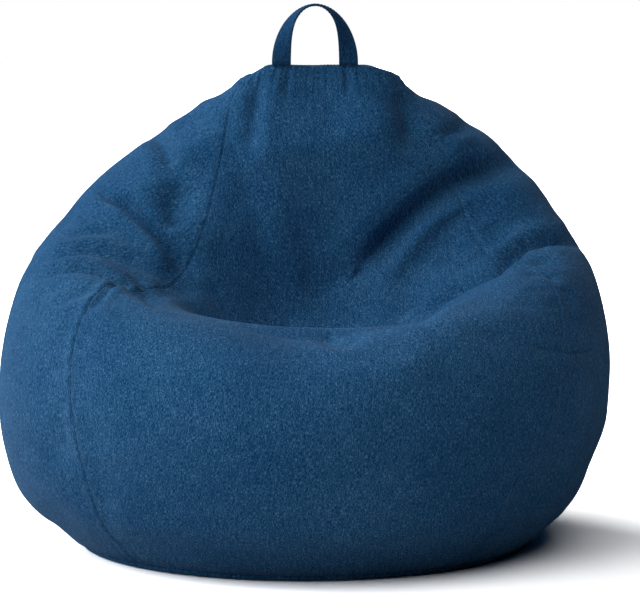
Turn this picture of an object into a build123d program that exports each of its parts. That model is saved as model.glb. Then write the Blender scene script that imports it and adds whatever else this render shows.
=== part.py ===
"""Bean bag chair: a four-gore teardrop cover with a handle and a zip, the liner bag in it, and the bead fill.

Millimetres, +Z up. The origin is on the floor at the centre of the base circle. The sitter faces -Y, and +X
is on the right of someone who looks at the seat. Azimuths are in degrees about the crown axis: 0 is the
front, and 90 the right side.
"""

import os
from dataclasses import dataclass
from math import cos, hypot, radians, sin, tan

from build123d import *

os.makedirs("parts", exist_ok=True)


@dataclass
class Ring:
    """One level line round the filled bag: its reach each way from the middle, and how high it runs."""

    half_width: float
    front: float
    back: float
    front_height: float
    side_height: float
    back_height: float
    squareness: float = 2.0


# Crown: the square of cloth at the very top, which tips backwards and leans a little to the right
CROWN_FRONT = 75.0
CROWN_BACK = 290.0
CROWN_HALF_WIDTH = 110.0
CROWN_HEIGHT = 665.0
CROWN_TILT = 9.2
CROWN_LEAN = 22.0
CROWN_AXIS_Y = (CROWN_FRONT + CROWN_BACK) / 2

# Base: a flat circle on the floor whose rim turns up to the base seam
BASE_FLAT_RADIUS = 288.0
BASE_SEAM_RADIUS = 320.0
BASE_SEAM_HEIGHT = 20.0

# The filled bag from the floor up. At the front the lip, valley and backrest make the seat hollow.
BASE_SEAM = Ring(BASE_SEAM_RADIUS, -BASE_SEAM_RADIUS, BASE_SEAM_RADIUS, 20, 20, 20)
FLANK = Ring(384, -379, 382, 62, 62, 62)
BELLY = Ring(425, -423, 423, 195, 215, 215)
SHOULDER = Ring(413, -385, 405, 285, 338, 335)
LIP = Ring(379, -285, 366, 328, 420, 430)
VALLEY = Ring(326, -115, 332, 262, 488, 510)
BACKREST = Ring(243, 0, 310, 410, 560, 572, 2.2)
NECK = Ring(180, 45, 300, 570, 601, 596, 3.0)
CROWN = Ring(CROWN_HALF_WIDTH, CROWN_FRONT, CROWN_BACK, CROWN_HEIGHT, 650, 630, 5.0)
RINGS = (BASE_SEAM, FLANK, BELLY, SHOULDER, LIP, VALLEY, BACKREST, NECK, CROWN)
HOLLOW_SPREAD = 2.4  # how fast the seat hollow fades towards the sides

# Gores: the seams beside the seat and beside the back panel
FRONT_SEAM = 36.0
BACK_SEAM = 110.0
GORES = {
    "front": (-FRONT_SEAM, FRONT_SEAM),
    "right": (FRONT_SEAM, BACK_SEAM),
    "back": (BACK_SEAM, 360 - BACK_SEAM),
    "left": (360 - BACK_SEAM, 360 - FRONT_SEAM),
}
SECTION_STEP = 9.0
SEAM_STEP = 1.5

# Cloth, and the slack that the liner has at each ring, which is most where zips and handle ends need room
COVER_CLOTH = 2.0
LINER_CLOTH = 1.0
LINER_SLACK = (22, 9, 3, 3, 3, 3, 3, 5, 9)
LINER_CROWN_DROP = 9.0
FILL_SLACK = (8, 5, 2.5, 2.5, 2.5, 2.5, 2.5, 2.5, 5)
FILL_CROWN_DROP = LINER_CROWN_DROP + 2.5

# Seam stitching, a narrow raised line along each seam
STITCH_WIDTH = 5.0
STITCH_RISE = 0.6
STITCH_GAP = 0.5
CROWN_STITCH_INSET = 4.0
CROWN_STITCH_WIDTH = 3.0

# Carry handle: a flat strap that stands in the crown's front seam and turns edge on at its top
STRAP_WIDTH = 27.0
STRAP_THICKNESS = 3.6
HANDLE_SPREAD = 95.0
HANDLE_MIDDLE = 16.0
HANDLE_RISE = 87.0
HANDLE_STATIONS = 13
TAB_LENGTH = 22.0

# Zips: two tapes, two coil rows, and a slider that runs round the base circle
ZIP_OPENING = 24.0
TAPE_THICKNESS = 0.8
COIL_WIDTH = 2.6
COIL_THICKNESS = 2.4
COIL_GAP = 1.6
SLIDER_LENGTH = 11.0
SLIDER_WIDTH = 9.4
SLIDER_PLATE = 1.3
SLIDER_CLEARANCE = 0.25
SLIDER_LIP = 0.7
SLIDER_WEB = 1.0
STOP_LENGTH = 5.0
COVER_ZIP_HALF_ANGLE = 34.0
LINER_ZIP_HALF_ANGLE = 26.0

# Pull tab of the cover zip, hung in a bail on the slider
BAIL_RADIUS = 2.4
BAIL_THICKNESS = 1.8
BAIL_STANDOFF = 3.2
PULL_PIN_RADIUS = 0.82
PULL_HOLE_RADIUS = 0.9
PULL_LENGTH = 16.0
PULL_WIDTH = 7.0
PULL_THICKNESS = 1.5
PULL_SIDE_GAP = 0.4

# Care label, sewn into the crown's back seam inside the cover
LABEL_WIDTH = 30.0
LABEL_LENGTH = 40.0
LABEL_THICKNESS = 0.5
LABEL_DROP = 1.5


# Form of the filled bag


def crown_plane_height(y):
    """Height of the tilted crown plane above a place y."""
    return CROWN_HEIGHT - (y - CROWN_FRONT) * tan(radians(CROWN_TILT))


def ring_shift(ring):
    """How far a ring's middle leans to the right: nothing up to the belly, and all of it at the crown."""
    rise = (ring.side_height - BELLY.side_height) / (CROWN.side_height - BELLY.side_height)
    return CROWN_LEAN * max(0.0, rise)


def reach(ring, azimuth):
    """Distance from the crown axis out to a ring, found by halving."""
    middle_y = (ring.front + ring.back) / 2
    half_depth = (ring.back - ring.front) / 2
    near, far = 0.0, 2 * BELLY.half_width
    while far - near > 1e-6:
        trial = (near + far) / 2
        across = CROWN_LEAN + trial * sin(radians(azimuth)) - ring_shift(ring)
        along = CROWN_AXIS_Y - trial * cos(radians(azimuth)) - middle_y
        across_share = abs(across / ring.half_width) ** ring.squareness
        along_share = abs(along / half_depth) ** ring.squareness
        near, far = (trial, far) if across_share + along_share < 1 else (near, trial)
    return near


def height(ring, azimuth):
    """Height of a ring at an azimuth, passing smoothly from its side height to its front and back heights."""
    facing = cos(radians(azimuth))
    front_share = max(0.0, facing) ** HOLLOW_SPREAD
    back_share = max(0.0, -facing) ** HOLLOW_SPREAD
    front_change = ring.front_height - ring.side_height
    back_change = ring.back_height - ring.side_height
    return ring.side_height + front_share * front_change + back_share * back_change


def profile(azimuth, insets, crown_drop=0.0):
    """Points (reach, height) up the bag at an azimuth, set in from the skin by one inset for each ring."""
    skin = [(reach(ring, azimuth), height(ring, azimuth)) for ring in RINGS]
    points = [(skin[0][0] - insets[0], BASE_SEAM_HEIGHT)]
    for below, here, above, inset in zip(skin, skin[1:], skin[2:], insets[1:]):
        run, rise = above[0] - below[0], above[1] - below[1]
        length = hypot(run, rise)
        points.append((here[0] - inset * rise / length, here[1] + inset * run / length))
    crown_reach = skin[-1][0] - insets[-1]
    crown_y = CROWN_AXIS_Y - crown_reach * cos(radians(azimuth))
    points.append((crown_reach, crown_plane_height(crown_y) - crown_drop))
    return points


def meridian(azimuth):
    """Upright plane through the crown axis, with x outwards and y up."""
    out = Vector(sin(radians(azimuth)), -cos(radians(azimuth)), 0)
    return Plane((CROWN_LEAN, CROWN_AXIS_Y, 0), x_dir=out, z_dir=out.cross(Vector(0, 0, 1)))


def azimuths(first, last):
    """Section azimuths across a gore: even steps from seam to seam, and one more close beside each seam."""
    count = round((last - first) / SECTION_STEP)
    even = [first + (last - first) * step / count for step in range(1, count)]
    return [first, first + SEAM_STEP, *even, last - SEAM_STEP, last]


def thicker(insets, cloth):
    """Insets of a cloth's inner face, from its outer face's; the ends are cut aslant, so they are wider."""
    slant = [2, *[1] * (len(RINGS) - 2), 2]
    return [inset + cloth * share for inset, share in zip(insets, slant)]


def gore_section(azimuth, insets, cloth, crown_drop=0.0):
    """Thin section of a gore at one azimuth, from the base seam up to the crown."""
    with BuildSketch(meridian(azimuth)) as section:
        with BuildLine():
            outer = Spline(*profile(azimuth, insets, crown_drop))
            inner = Spline(*profile(azimuth, thicker(insets, cloth), crown_drop))
            Line(outer @ 0, inner @ 0)
            Line(outer @ 1, inner @ 1)
        make_face()
    return section.sketch


def crown_outline(inset):
    """Corner points of the crown's outline in the crown plane, set in from its edge."""
    outline = []
    for azimuth in range(0, 360, 15):
        out = reach(CROWN, azimuth) - inset
        outline.append((out * sin(radians(azimuth)), -out * cos(radians(azimuth)) / cos(radians(CROWN_TILT))))
    return outline


def crown_plane(rise):
    """Plane of the crown cloth, raised along its own normal."""
    centre = (CROWN_LEAN, CROWN_AXIS_Y, crown_plane_height(CROWN_AXIS_Y))
    tilt = radians(CROWN_TILT)
    return Plane(centre, x_dir=(1, 0, 0), z_dir=(0, sin(tilt), cos(tilt))).offset(rise)


def dish_section(flat_radius, seam_radius, low, cloth):
    """Half the section of a base panel: a flat disc whose rim turns up to the seam."""
    rise = BASE_SEAM_HEIGHT - low
    bend = (hypot(seam_radius - flat_radius, rise) ** 2) / (2 * rise)
    inner_reach = (((bend - cloth) ** 2) - (bend - rise) ** 2) ** 0.5
    centre = Vector(flat_radius, low + bend)
    with BuildSketch(Plane.XZ) as section:
        with BuildLine():
            floor_line = Line((0, low), (flat_radius, low))
            outer_rim = TangentArc(floor_line @ 1, (seam_radius, BASE_SEAM_HEIGHT), tangent=(1, 0))
            top_edge = Line(outer_rim @ 1, centre + Vector(inner_reach, rise - bend))
            inner_rim = TangentArc((flat_radius, low + cloth), top_edge @ 1, tangent=(1, 0))
            Polyline(inner_rim @ 0, (0, low + cloth), (0, low))
        make_face()
    return section.sketch


def save(built, name):
    """Labels a finished piece and writes its STEP file."""
    built.part.label = name
    export_step(built.part, f"parts/{name}.step")


# Zip layout


@dataclass
class Zip:
    """One zip round the base: the insets of its cloth, how far it runs, and whether it has a pull tab."""

    name: str
    insets: tuple
    half_angle: float
    has_pull: bool

    def __post_init__(self):
        """Works out where the cloth's seam is at the back of the bag, and its slope just above the seam."""
        cloth_line = Spline(*profile(180, self.insets))
        seam = cloth_line @ 0
        window_edge = cloth_line.position_at(ZIP_OPENING, position_mode=PositionMode.LENGTH)
        self.seam_radius = BASE_SEAM_RADIUS - self.insets[0]
        self.slope = Vector(window_edge - seam).normalized()

    def place(self, along, out):
        """Point (reach, height) that is so far up the cloth from the seam, and so far outside it."""
        outwards = Vector(self.slope.Y, -self.slope.X)
        point = Vector(self.seam_radius, BASE_SEAM_HEIGHT) + self.slope * along + outwards * out
        return (point.X, point.Y)

    def degrees(self, length):
        """Angle about the base centre that a length along the zip takes."""
        return length / radians(self.seam_radius)


def behind(angle):
    """Upright plane through the base centre, x outwards; angle 0 is the back, and positive turns right."""
    out = Vector(sin(radians(angle)), cos(radians(angle)), 0)
    return Plane((0, 0, 0), x_dir=out, z_dir=out.cross(Vector(0, 0, 1)))


def sweep_round(zipper, first_angle, last_angle, along, out, mode=Mode.ADD):
    """Turns a small rectangle of the zip's section round the base circle, from one angle to another."""
    corners = [(along[0], out[0]), (along[1], out[0]), (along[1], out[1]), (along[0], out[1])]
    with BuildSketch(behind(last_angle)) as section:
        with BuildLine():
            Polyline(*[zipper.place(*corner) for corner in corners], close=True)
        make_face()
    revolve(section.sketch, axis=Axis.Z, revolution_arc=last_angle - first_angle, mode=mode)


def build_zip(zipper):
    """Makes a zip's tapes, coil rows, end stops and slider."""
    middle = ZIP_OPENING / 2
    end = zipper.half_angle
    coil_near, coil_far = COIL_GAP / 2, COIL_GAP / 2 + COIL_WIDTH
    coil_end = end - zipper.degrees(STOP_LENGTH)
    for side, name in ((-1, "lower"), (1, "upper")):
        tape = sorted((middle + side * coil_far, middle + side * middle))
        coil = sorted((middle + side * coil_near, middle + side * coil_far))
        with BuildPart() as zip_tape:
            sweep_round(zipper, -end, end, tape, (-TAPE_THICKNESS / 2, TAPE_THICKNESS / 2))
        save(zip_tape, f"{zipper.name}_tape_{name}")
        with BuildPart() as zip_coil:
            sweep_round(zipper, -coil_end, coil_end, coil, (-COIL_THICKNESS / 2, COIL_THICKNESS / 2))
        save(zip_coil, f"{zipper.name}_coil_{name}")

    with BuildPart() as end_stops:
        for first, last in ((-end, -coil_end), (coil_end, end)):
            across = (middle - coil_far, middle + coil_far)
            sweep_round(zipper, first, last, across, (-COIL_THICKNESS / 2, COIL_THICKNESS / 2))
    save(end_stops, f"{zipper.name}_end_stops")

    slider = slider_angles(zipper)
    across = (middle - SLIDER_WIDTH / 2, middle + SLIDER_WIDTH / 2)
    plate_near = COIL_THICKNESS / 2 + SLIDER_CLEARANCE
    plate_far = plate_near + SLIDER_PLATE
    lip_near = TAPE_THICKNESS / 2 + SLIDER_CLEARANCE
    with BuildPart() as zip_slider:
        for face in (-1, 1):
            sweep_round(zipper, *slider, across, sorted((face * plate_near, face * plate_far)))
            for edge, inner in ((across[0], across[0] + SLIDER_LIP), (across[1] - SLIDER_LIP, across[1])):
                sweep_round(zipper, *slider, (edge, inner), sorted((face * lip_near, face * plate_near)))
        web = (middle - SLIDER_WEB / 2, middle + SLIDER_WEB / 2)
        web_start = slider[1] - zipper.degrees(SLIDER_LENGTH / 3)
        sweep_round(zipper, web_start, slider[1], web, (-plate_near, plate_near))
        if zipper.has_pull:
            with BuildSketch(slider_plane(zipper).offset(-BAIL_THICKNESS / 2)):
                with BuildLine():
                    Polyline(
                        (-BAIL_RADIUS, plate_near),
                        (BAIL_RADIUS, plate_near),
                        (BAIL_RADIUS, bail_height()),
                        (-BAIL_RADIUS, bail_height()),
                        close=True,
                    )
                make_face()
                with Locations((0, bail_height())):
                    Circle(BAIL_RADIUS)
                    Circle(PULL_HOLE_RADIUS, mode=Mode.SUBTRACT)
            extrude(amount=BAIL_THICKNESS)
    save(zip_slider, f"{zipper.name}_slider")


def slider_angles(zipper):
    """First and last angle of the slider where it rests, hard against the left end stop."""
    first = -zipper.half_angle + zipper.degrees(STOP_LENGTH + SLIDER_CLEARANCE)
    return (first, first + zipper.degrees(SLIDER_LENGTH))


def slider_plane(zipper):
    """Plane across the slider's middle: x along the zip, y outwards, and z up the cloth."""
    angle = sum(slider_angles(zipper)) / 2
    section = behind(angle)
    place = zipper.place(ZIP_OPENING / 2, 0)
    up_cloth = section.x_dir * zipper.slope.X + Vector(0, 0, zipper.slope.Y)
    outwards = section.x_dir * zipper.slope.Y - Vector(0, 0, zipper.slope.X)
    middle = section.x_dir * place[0] + Vector(0, 0, place[1])
    return Plane(middle, x_dir=outwards.cross(up_cloth), z_dir=up_cloth)


def bail_height():
    """How far the bail's hole stands outside the zip's middle."""
    return COIL_THICKNESS / 2 + SLIDER_CLEARANCE + BAIL_STANDOFF


NO_INSET = [0.0] * len(RINGS)
LINER_INNER = thicker(LINER_SLACK, LINER_CLOTH)
COVER_ZIP = Zip("cover_zip", NO_INSET, COVER_ZIP_HALF_ANGLE, has_pull=True)
LINER_ZIP = Zip("liner_zip", LINER_SLACK, LINER_ZIP_HALF_ANGLE, has_pull=False)


# Gores of the cover and of the liner; each back gore has a window for its zip
for bag, zipper, cloth, drop in (
    ("cover", COVER_ZIP, COVER_CLOTH, 0.0),
    ("liner", LINER_ZIP, LINER_CLOTH, LINER_CROWN_DROP),
):
    insets = zipper.insets
    for side, (first, last) in GORES.items():
        with BuildPart() as gore:
            loft([gore_section(azimuth, insets, cloth, drop) for azimuth in azimuths(first, last)])
            if side == "back":
                half_angle = zipper.half_angle
                window = (-ZIP_OPENING, ZIP_OPENING)
                sweep_round(zipper, -half_angle, half_angle, window, (-9, 9), Mode.SUBTRACT)
        save(gore, f"{bag}_{side}_panel")

    with BuildPart() as crown:
        with BuildSketch(crown_plane(-drop * cos(radians(CROWN_TILT)))):
            with BuildLine():
                Spline(*crown_outline(insets[-1]), periodic=True)
            make_face()
        extrude(amount=cloth)
    save(crown, f"{bag}_crown_panel")

    build_zip(zipper)

# Base panels
with BuildPart() as cover_base:
    revolve(dish_section(BASE_FLAT_RADIUS, BASE_SEAM_RADIUS, 0.0, COVER_CLOTH), axis=Axis.Z)
save(cover_base, "cover_base_panel")

with BuildPart() as liner_base:
    liner_flat = BASE_FLAT_RADIUS - LINER_SLACK[0]
    revolve(dish_section(liner_flat, LINER_ZIP.seam_radius, COVER_CLOTH, LINER_CLOTH), axis=Axis.Z)
save(liner_base, "liner_base_panel")

# Bead fill: the bag's whole inside, closed by a flat foot and a flat top
FILL_INSETS = [inset + slack for inset, slack in zip(LINER_INNER, FILL_SLACK)]
FILL_FOOT = (BASE_FLAT_RADIUS - FILL_INSETS[0] - 10, COVER_CLOTH + LINER_CLOTH + 0.3)


def fill_line(azimuth):
    """Curve up the fill's surface at one azimuth, from its foot to its top."""
    foot_reach = reach(BASE_SEAM, azimuth) - BASE_SEAM_RADIUS + FILL_FOOT[0]
    points = [(foot_reach, FILL_FOOT[1]), *profile(azimuth, FILL_INSETS, FILL_CROWN_DROP)]
    plane = meridian(azimuth)
    return Wire(Spline(*[plane.from_local_coords(Vector(*point)) for point in points]))


fill_walls = [Shell.make_loft([fill_line(azimuth) for azimuth in azimuths(*span)]) for span in GORES.values()]
fill_foot = Face(Wire([wall.edges().sort_by(Axis.Z)[0] for wall in fill_walls]))
fill_top = Face(Wire([wall.edges().sort_by(Axis.Z)[-1] for wall in fill_walls]))
fill_faces = [face for wall in fill_walls for face in wall.faces()]
with BuildPart() as bead_fill:
    add(Solid(Shell([*fill_faces, fill_foot, fill_top])))
save(bead_fill, "bead_fill")

# Stitching along the gore seams
stitch_height = STITCH_GAP + STITCH_RISE
stitch_insets = [-2 * stitch_height, *[-stitch_height] * (len(RINGS) - 2), -2 * stitch_height]
for name, seam in (
    ("front_right", FRONT_SEAM),
    ("back_right", BACK_SEAM),
    ("back_left", -BACK_SEAM),
    ("front_left", -FRONT_SEAM),
):
    half_angle = STITCH_WIDTH / radians(reach(BELLY, seam)) / 2
    with BuildPart() as gore_stitch:
        loft([gore_section(seam + turn, stitch_insets, STITCH_RISE) for turn in (-half_angle, half_angle)])
    save(gore_stitch, f"{name}_seam_stitch")

# Stitching round the crown panel
with BuildPart() as crown_stitch:
    with BuildSketch(crown_plane(COVER_CLOTH)):
        with BuildLine():
            Spline(*crown_outline(CROWN_STITCH_INSET), periodic=True)
        make_face()
        with BuildLine():
            Spline(*crown_outline(CROWN_STITCH_INSET + CROWN_STITCH_WIDTH), periodic=True)
        make_face(mode=Mode.SUBTRACT)
    extrude(amount=STITCH_RISE)
save(crown_stitch, "crown_seam_stitch")

# Stitching round the base seam, from one end of the zip to the other
base_bend = hypot(BASE_SEAM_RADIUS - BASE_FLAT_RADIUS, BASE_SEAM_HEIGHT) ** 2 / (2 * BASE_SEAM_HEIGHT)
with BuildPart() as base_stitch:
    with BuildSketch(behind(-COVER_ZIP_HALF_ANGLE)) as base_stitch_section:
        with BuildLine():
            rim = (BASE_FLAT_RADIUS, base_bend)
            outer = CenterArc(rim, base_bend + STITCH_GAP + STITCH_RISE, -38, 6)
            inner = CenterArc(rim, base_bend + STITCH_GAP, -38, 6)
            Line(outer @ 0, inner @ 0)
            Line(outer @ 1, inner @ 1)
        make_face()
    revolve(axis=Axis.Z, revolution_arc=360 - 2 * COVER_ZIP_HALF_ANGLE)
save(base_stitch, "base_seam_stitch")

# Carry handle: the strap lies flat against the seam at its feet and turns through a right angle on the way up
HANDLE_AXIS = Vector(HANDLE_MIDDLE, CROWN_FRONT - 1.2, CROWN_HEIGHT + COVER_CLOTH + 1.6)


def handle_section(share):
    """Strap's section at a share of the way along the arch, from the left foot to the right foot."""
    turn = 180 * share
    across, up = -cos(radians(turn)) * HANDLE_SPREAD / 2, sin(radians(turn)) * (HANDLE_RISE - STRAP_THICKNESS)
    heading = Vector(sin(radians(turn)) * HANDLE_SPREAD / 2, 0, cos(radians(turn)) * HANDLE_RISE).normalized()
    twist = radians(90 * sin(radians(turn)))
    in_plane = heading.cross(Vector(0, 1, 0))
    wide = in_plane * cos(twist) + Vector(0, 1, 0) * sin(twist)
    with BuildSketch(Plane(HANDLE_AXIS + Vector(across, 0, up), x_dir=wide, z_dir=heading)) as section:
        Rectangle(STRAP_WIDTH, STRAP_THICKNESS)
    return section.sketch


with BuildPart() as carry_handle:
    loft([handle_section(step / (HANDLE_STATIONS - 1)) for step in range(HANDLE_STATIONS)])
    for side in (-1, 1):
        with BuildSketch(Plane.YZ.offset(HANDLE_AXIS.X + side * HANDLE_SPREAD / 2 - STRAP_WIDTH / 2)):
            with Locations((HANDLE_AXIS.Y, HANDLE_AXIS.Z)):
                Circle(STRAP_THICKNESS / 2)
        extrude(amount=STRAP_WIDTH)
save(carry_handle, "carry_handle")

# Strap ends, folded under the crown panel behind its front seam
with BuildPart() as handle_ends:
    with BuildSketch(crown_plane(0)):
        front_edge = (CROWN_FRONT - CROWN_AXIS_Y) / cos(radians(CROWN_TILT))
        with Locations((HANDLE_MIDDLE - CROWN_LEAN, front_edge + 6 * COVER_CLOTH + TAB_LENGTH / 2)):
            with GridLocations(HANDLE_SPREAD, 0, 2, 1):
                Rectangle(STRAP_WIDTH, TAB_LENGTH)
    extrude(amount=-STRAP_THICKNESS)
save(handle_ends, "handle_ends")

# Pull tab of the cover zip: a window frame whose pin runs through the slider's bail
slider_frame = slider_plane(COVER_ZIP)
pull_plane = Plane(slider_frame.origin, x_dir=slider_frame.y_dir, z_dir=slider_frame.x_dir)
pull_heel = 1.4
window_width = BAIL_THICKNESS + 2 * PULL_SIDE_GAP
window_end = bail_height() + BAIL_RADIUS + 0.8
with BuildPart() as zip_pull:
    with BuildSketch(pull_plane):
        with Locations((bail_height() + (PULL_LENGTH - pull_heel) / 2, 0)):
            RectangleRounded(PULL_LENGTH + pull_heel, PULL_WIDTH, 1.2)
        with Locations((window_end, 0)):
            Rectangle(PULL_LENGTH, window_width, align=(Align.MAX, Align.CENTER), mode=Mode.SUBTRACT)
    extrude(amount=PULL_THICKNESS / 2, both=True)
    with BuildSketch(slider_frame.offset(-window_width / 2)):
        with Locations((0, bail_height())):
            Circle(PULL_PIN_RADIUS)
    extrude(amount=window_width)
save(zip_pull, "cover_zip_pull")

# Care label inside the cover, under the crown panel
with BuildPart() as care_label:
    with BuildSketch(crown_plane(-LABEL_DROP)):
        back_edge = (CROWN_BACK - CROWN_AXIS_Y) / cos(radians(CROWN_TILT))
        with Locations((0, back_edge - 4 * COVER_CLOTH - LABEL_LENGTH / 2)):
            Rectangle(LABEL_WIDTH, LABEL_LENGTH)
    extrude(amount=-LABEL_THICKNESS)
save(care_label, "care_label")
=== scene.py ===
# %% [markdown]
# # Dressing a bean bag chair
# The solids come from the CAD model, packed as a frame of named nodes that ride on bodies. Here the
# plain solids of the bag get their cloth: sewn gores with folds, puckered seams, stitches, a strap
# handle and a woven finish. Everything is in metres, in the same frame as the CAD: the seat faces -Y,
# and the floor is z = 0.

# %% Load the frame
import math

import bpy
import numpy as np
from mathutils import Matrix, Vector


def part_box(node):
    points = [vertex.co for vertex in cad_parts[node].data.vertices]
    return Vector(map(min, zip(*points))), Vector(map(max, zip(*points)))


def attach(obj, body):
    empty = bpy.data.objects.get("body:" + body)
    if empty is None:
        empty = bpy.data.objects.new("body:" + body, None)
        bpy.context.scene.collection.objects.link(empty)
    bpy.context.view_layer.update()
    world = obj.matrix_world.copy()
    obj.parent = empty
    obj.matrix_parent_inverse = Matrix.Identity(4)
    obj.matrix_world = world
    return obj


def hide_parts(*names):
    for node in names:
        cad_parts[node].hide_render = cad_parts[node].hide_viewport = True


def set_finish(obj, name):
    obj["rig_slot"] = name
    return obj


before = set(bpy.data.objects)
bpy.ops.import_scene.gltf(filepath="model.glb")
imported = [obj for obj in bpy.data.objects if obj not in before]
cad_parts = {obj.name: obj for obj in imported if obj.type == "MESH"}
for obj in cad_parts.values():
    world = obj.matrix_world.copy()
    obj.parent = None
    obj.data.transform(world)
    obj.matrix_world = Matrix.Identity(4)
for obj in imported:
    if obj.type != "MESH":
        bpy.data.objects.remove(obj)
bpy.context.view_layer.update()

# %% [markdown]
# ## Camera
# The chair was photographed from a few metres away with a long lens, from a little above its middle.
# The same camera comes first, because the folds are drawn later as strokes on what it sees.

# %% Camera
PICTURE_WIDTH, PICTURE_HEIGHT = 640, 606
CAMERA_DISTANCE = 4.0
CAMERA_PITCH = math.radians(5.5)
CAMERA_TARGET = np.array((0.0231, 0.0, 0.335))
FOCAL_PIXELS, SENSOR_WIDTH, FARTHEST_SEEN = 2857.0, 36.0, 60

view_forward = np.array((0.0, math.cos(CAMERA_PITCH), -math.sin(CAMERA_PITCH)))
view_up = np.array((0.0, math.sin(CAMERA_PITCH), math.cos(CAMERA_PITCH)))
camera_place = CAMERA_TARGET - view_forward * CAMERA_DISTANCE

bpy.ops.object.select_all(action="DESELECT")
bpy.ops.object.camera_add(location=camera_place, rotation=(math.pi / 2 - CAMERA_PITCH, 0, 0))
camera = bpy.context.object
camera.data.sensor_width = SENSOR_WIDTH
camera.data.lens = FOCAL_PIXELS * SENSOR_WIDTH / PICTURE_WIDTH
camera.data.clip_end = FARTHEST_SEEN
bpy.context.scene.camera = camera
print("lens", round(camera.data.lens, 1), "mm")


def picture_place(points):
    """Pixel columns and rows at which the camera sees some points."""
    seen = points - camera_place
    depth = seen @ view_forward
    across = PICTURE_WIDTH / 2 + FOCAL_PIXELS * seen[..., 0] / depth
    down = PICTURE_HEIGHT / 2 - FOCAL_PIXELS * (seen @ view_up) / depth
    return np.stack((across, down), axis=-1)


# %% [markdown]
# ## Form of the filled bag
# The bag is a teardrop: level rings run round it from the base seam up to the crown, and the front of
# three rings is pushed down to make the seat. The same rings shape the CAD solids. A ring is an
# ellipse, squarer near the crown, and its distance from the crown axis is found by trying, halving
# the step each time.

# %% Rings
CROWN_LEAN, CROWN_AXIS_Y = 0.022, 0.1825
CROWN_FRONT, CROWN_HEIGHT, CROWN_TILT = 0.075, 0.665, math.radians(9.2)
BASE_SEAM_RADIUS, BASE_SEAM_HEIGHT = 0.320, 0.020
LEAN_START, LEAN_END = 0.215, 0.650
HOLLOW_SPREAD = 2.4
FARTHEST_REACH, HALVINGS = 0.9, 40
# half width, front, back, height at the front, side and back, squareness
RINGS = (
    (0.320, -0.320, 0.320, 0.020, 0.020, 0.020, 2.0),
    (0.384, -0.379, 0.382, 0.062, 0.062, 0.062, 2.0),
    (0.425, -0.423, 0.423, 0.195, 0.215, 0.215, 2.0),
    (0.413, -0.385, 0.405, 0.285, 0.338, 0.335, 2.0),
    (0.379, -0.285, 0.366, 0.328, 0.420, 0.430, 2.0),
    (0.326, -0.115, 0.332, 0.262, 0.488, 0.510, 2.0),
    (0.243, 0.000, 0.310, 0.410, 0.560, 0.572, 2.2),
    (0.180, 0.045, 0.300, 0.570, 0.601, 0.596, 3.0),
    (0.110, 0.075, 0.290, 0.665, 0.650, 0.630, 5.0),
)


def ring_reach(ring, azimuth):
    """Distances from the crown axis out to a ring, found by halving."""
    half_width, front, back, _, side_height, _, squareness = ring
    shift = CROWN_LEAN * max(0.0, (side_height - LEAN_START) / (LEAN_END - LEAN_START))
    near, far = np.zeros_like(azimuth), np.full_like(azimuth, FARTHEST_REACH)
    for _ in range(HALVINGS):
        trial = (near + far) / 2
        across = np.abs((CROWN_LEAN + trial * np.sin(azimuth) - shift) / half_width)
        along = np.abs((CROWN_AXIS_Y - trial * np.cos(azimuth) - (front + back) / 2) / ((back - front) / 2))
        inside = across**squareness + along**squareness < 1
        near, far = np.where(inside, trial, near), np.where(inside, far, trial)
    return near


def ring_height(ring, azimuth):
    """Heights of a ring, which pass smoothly from the sides to the front and back."""
    _, _, _, front_height, side_height, back_height, _ = ring
    front_share = np.maximum(0, np.cos(azimuth)) ** HOLLOW_SPREAD
    back_share = np.maximum(0, -np.cos(azimuth)) ** HOLLOW_SPREAD
    to_front, to_back = front_height - side_height, back_height - side_height
    return side_height + front_share * to_front + back_share * to_back


print(len(RINGS), "rings, from", RINGS[0][3], "to", RINGS[-1][3], "m high at the front")

# %% [markdown]
# A smooth curve through the rings at each azimuth gives a table of points, from which every panel of
# cloth is cut. The curve is a natural cubic one, as a thin batten would bend, and its points are
# spaced evenly, so that a share of the way up is a share of the cloth's length.

# %% Table of points
TABLE_STEP = 0.25
BACK_COLUMN = round(180 / TABLE_STEP)
TABLE_ROWS, FINE_POINTS = 401, 1200


def curve_through(knots, count):
    """Evenly spaced points on a natural cubic curve through some knots."""
    steps = np.linalg.norm(np.diff(knots, axis=0), axis=1)
    places = np.concatenate(([0], np.cumsum(steps)))
    size = len(knots)
    system, right = np.eye(size), np.zeros((size, knots.shape[1]))
    for k in range(1, size - 1):
        system[k, k - 1 : k + 2] = steps[k - 1], 2 * (steps[k - 1] + steps[k]), steps[k]
        right[k] = 6 * ((knots[k + 1] - knots[k]) / steps[k] - (knots[k] - knots[k - 1]) / steps[k - 1])
    bends = np.linalg.solve(system, right)
    fine = np.linspace(0, places[-1], FINE_POINTS)
    k = np.clip(np.searchsorted(places, fine) - 1, 0, size - 2)
    left, rest, step = (fine - places[k])[:, None], (places[k + 1] - fine)[:, None], steps[k][:, None]
    line = (bends[k] * rest**3 + bends[k + 1] * left**3) / (6 * step)
    from_left = (knots[k] / step - bends[k] * step / 6) * rest
    from_right = (knots[k + 1] / step - bends[k + 1] * step / 6) * left
    line += from_left + from_right
    run = np.concatenate(([0], np.cumsum(np.linalg.norm(np.diff(line, axis=0), axis=1))))
    even = np.linspace(0, run[-1], count)
    return np.stack([np.interp(even, run, line[:, axis]) for axis in range(line.shape[1])], axis=1), run[-1]


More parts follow.
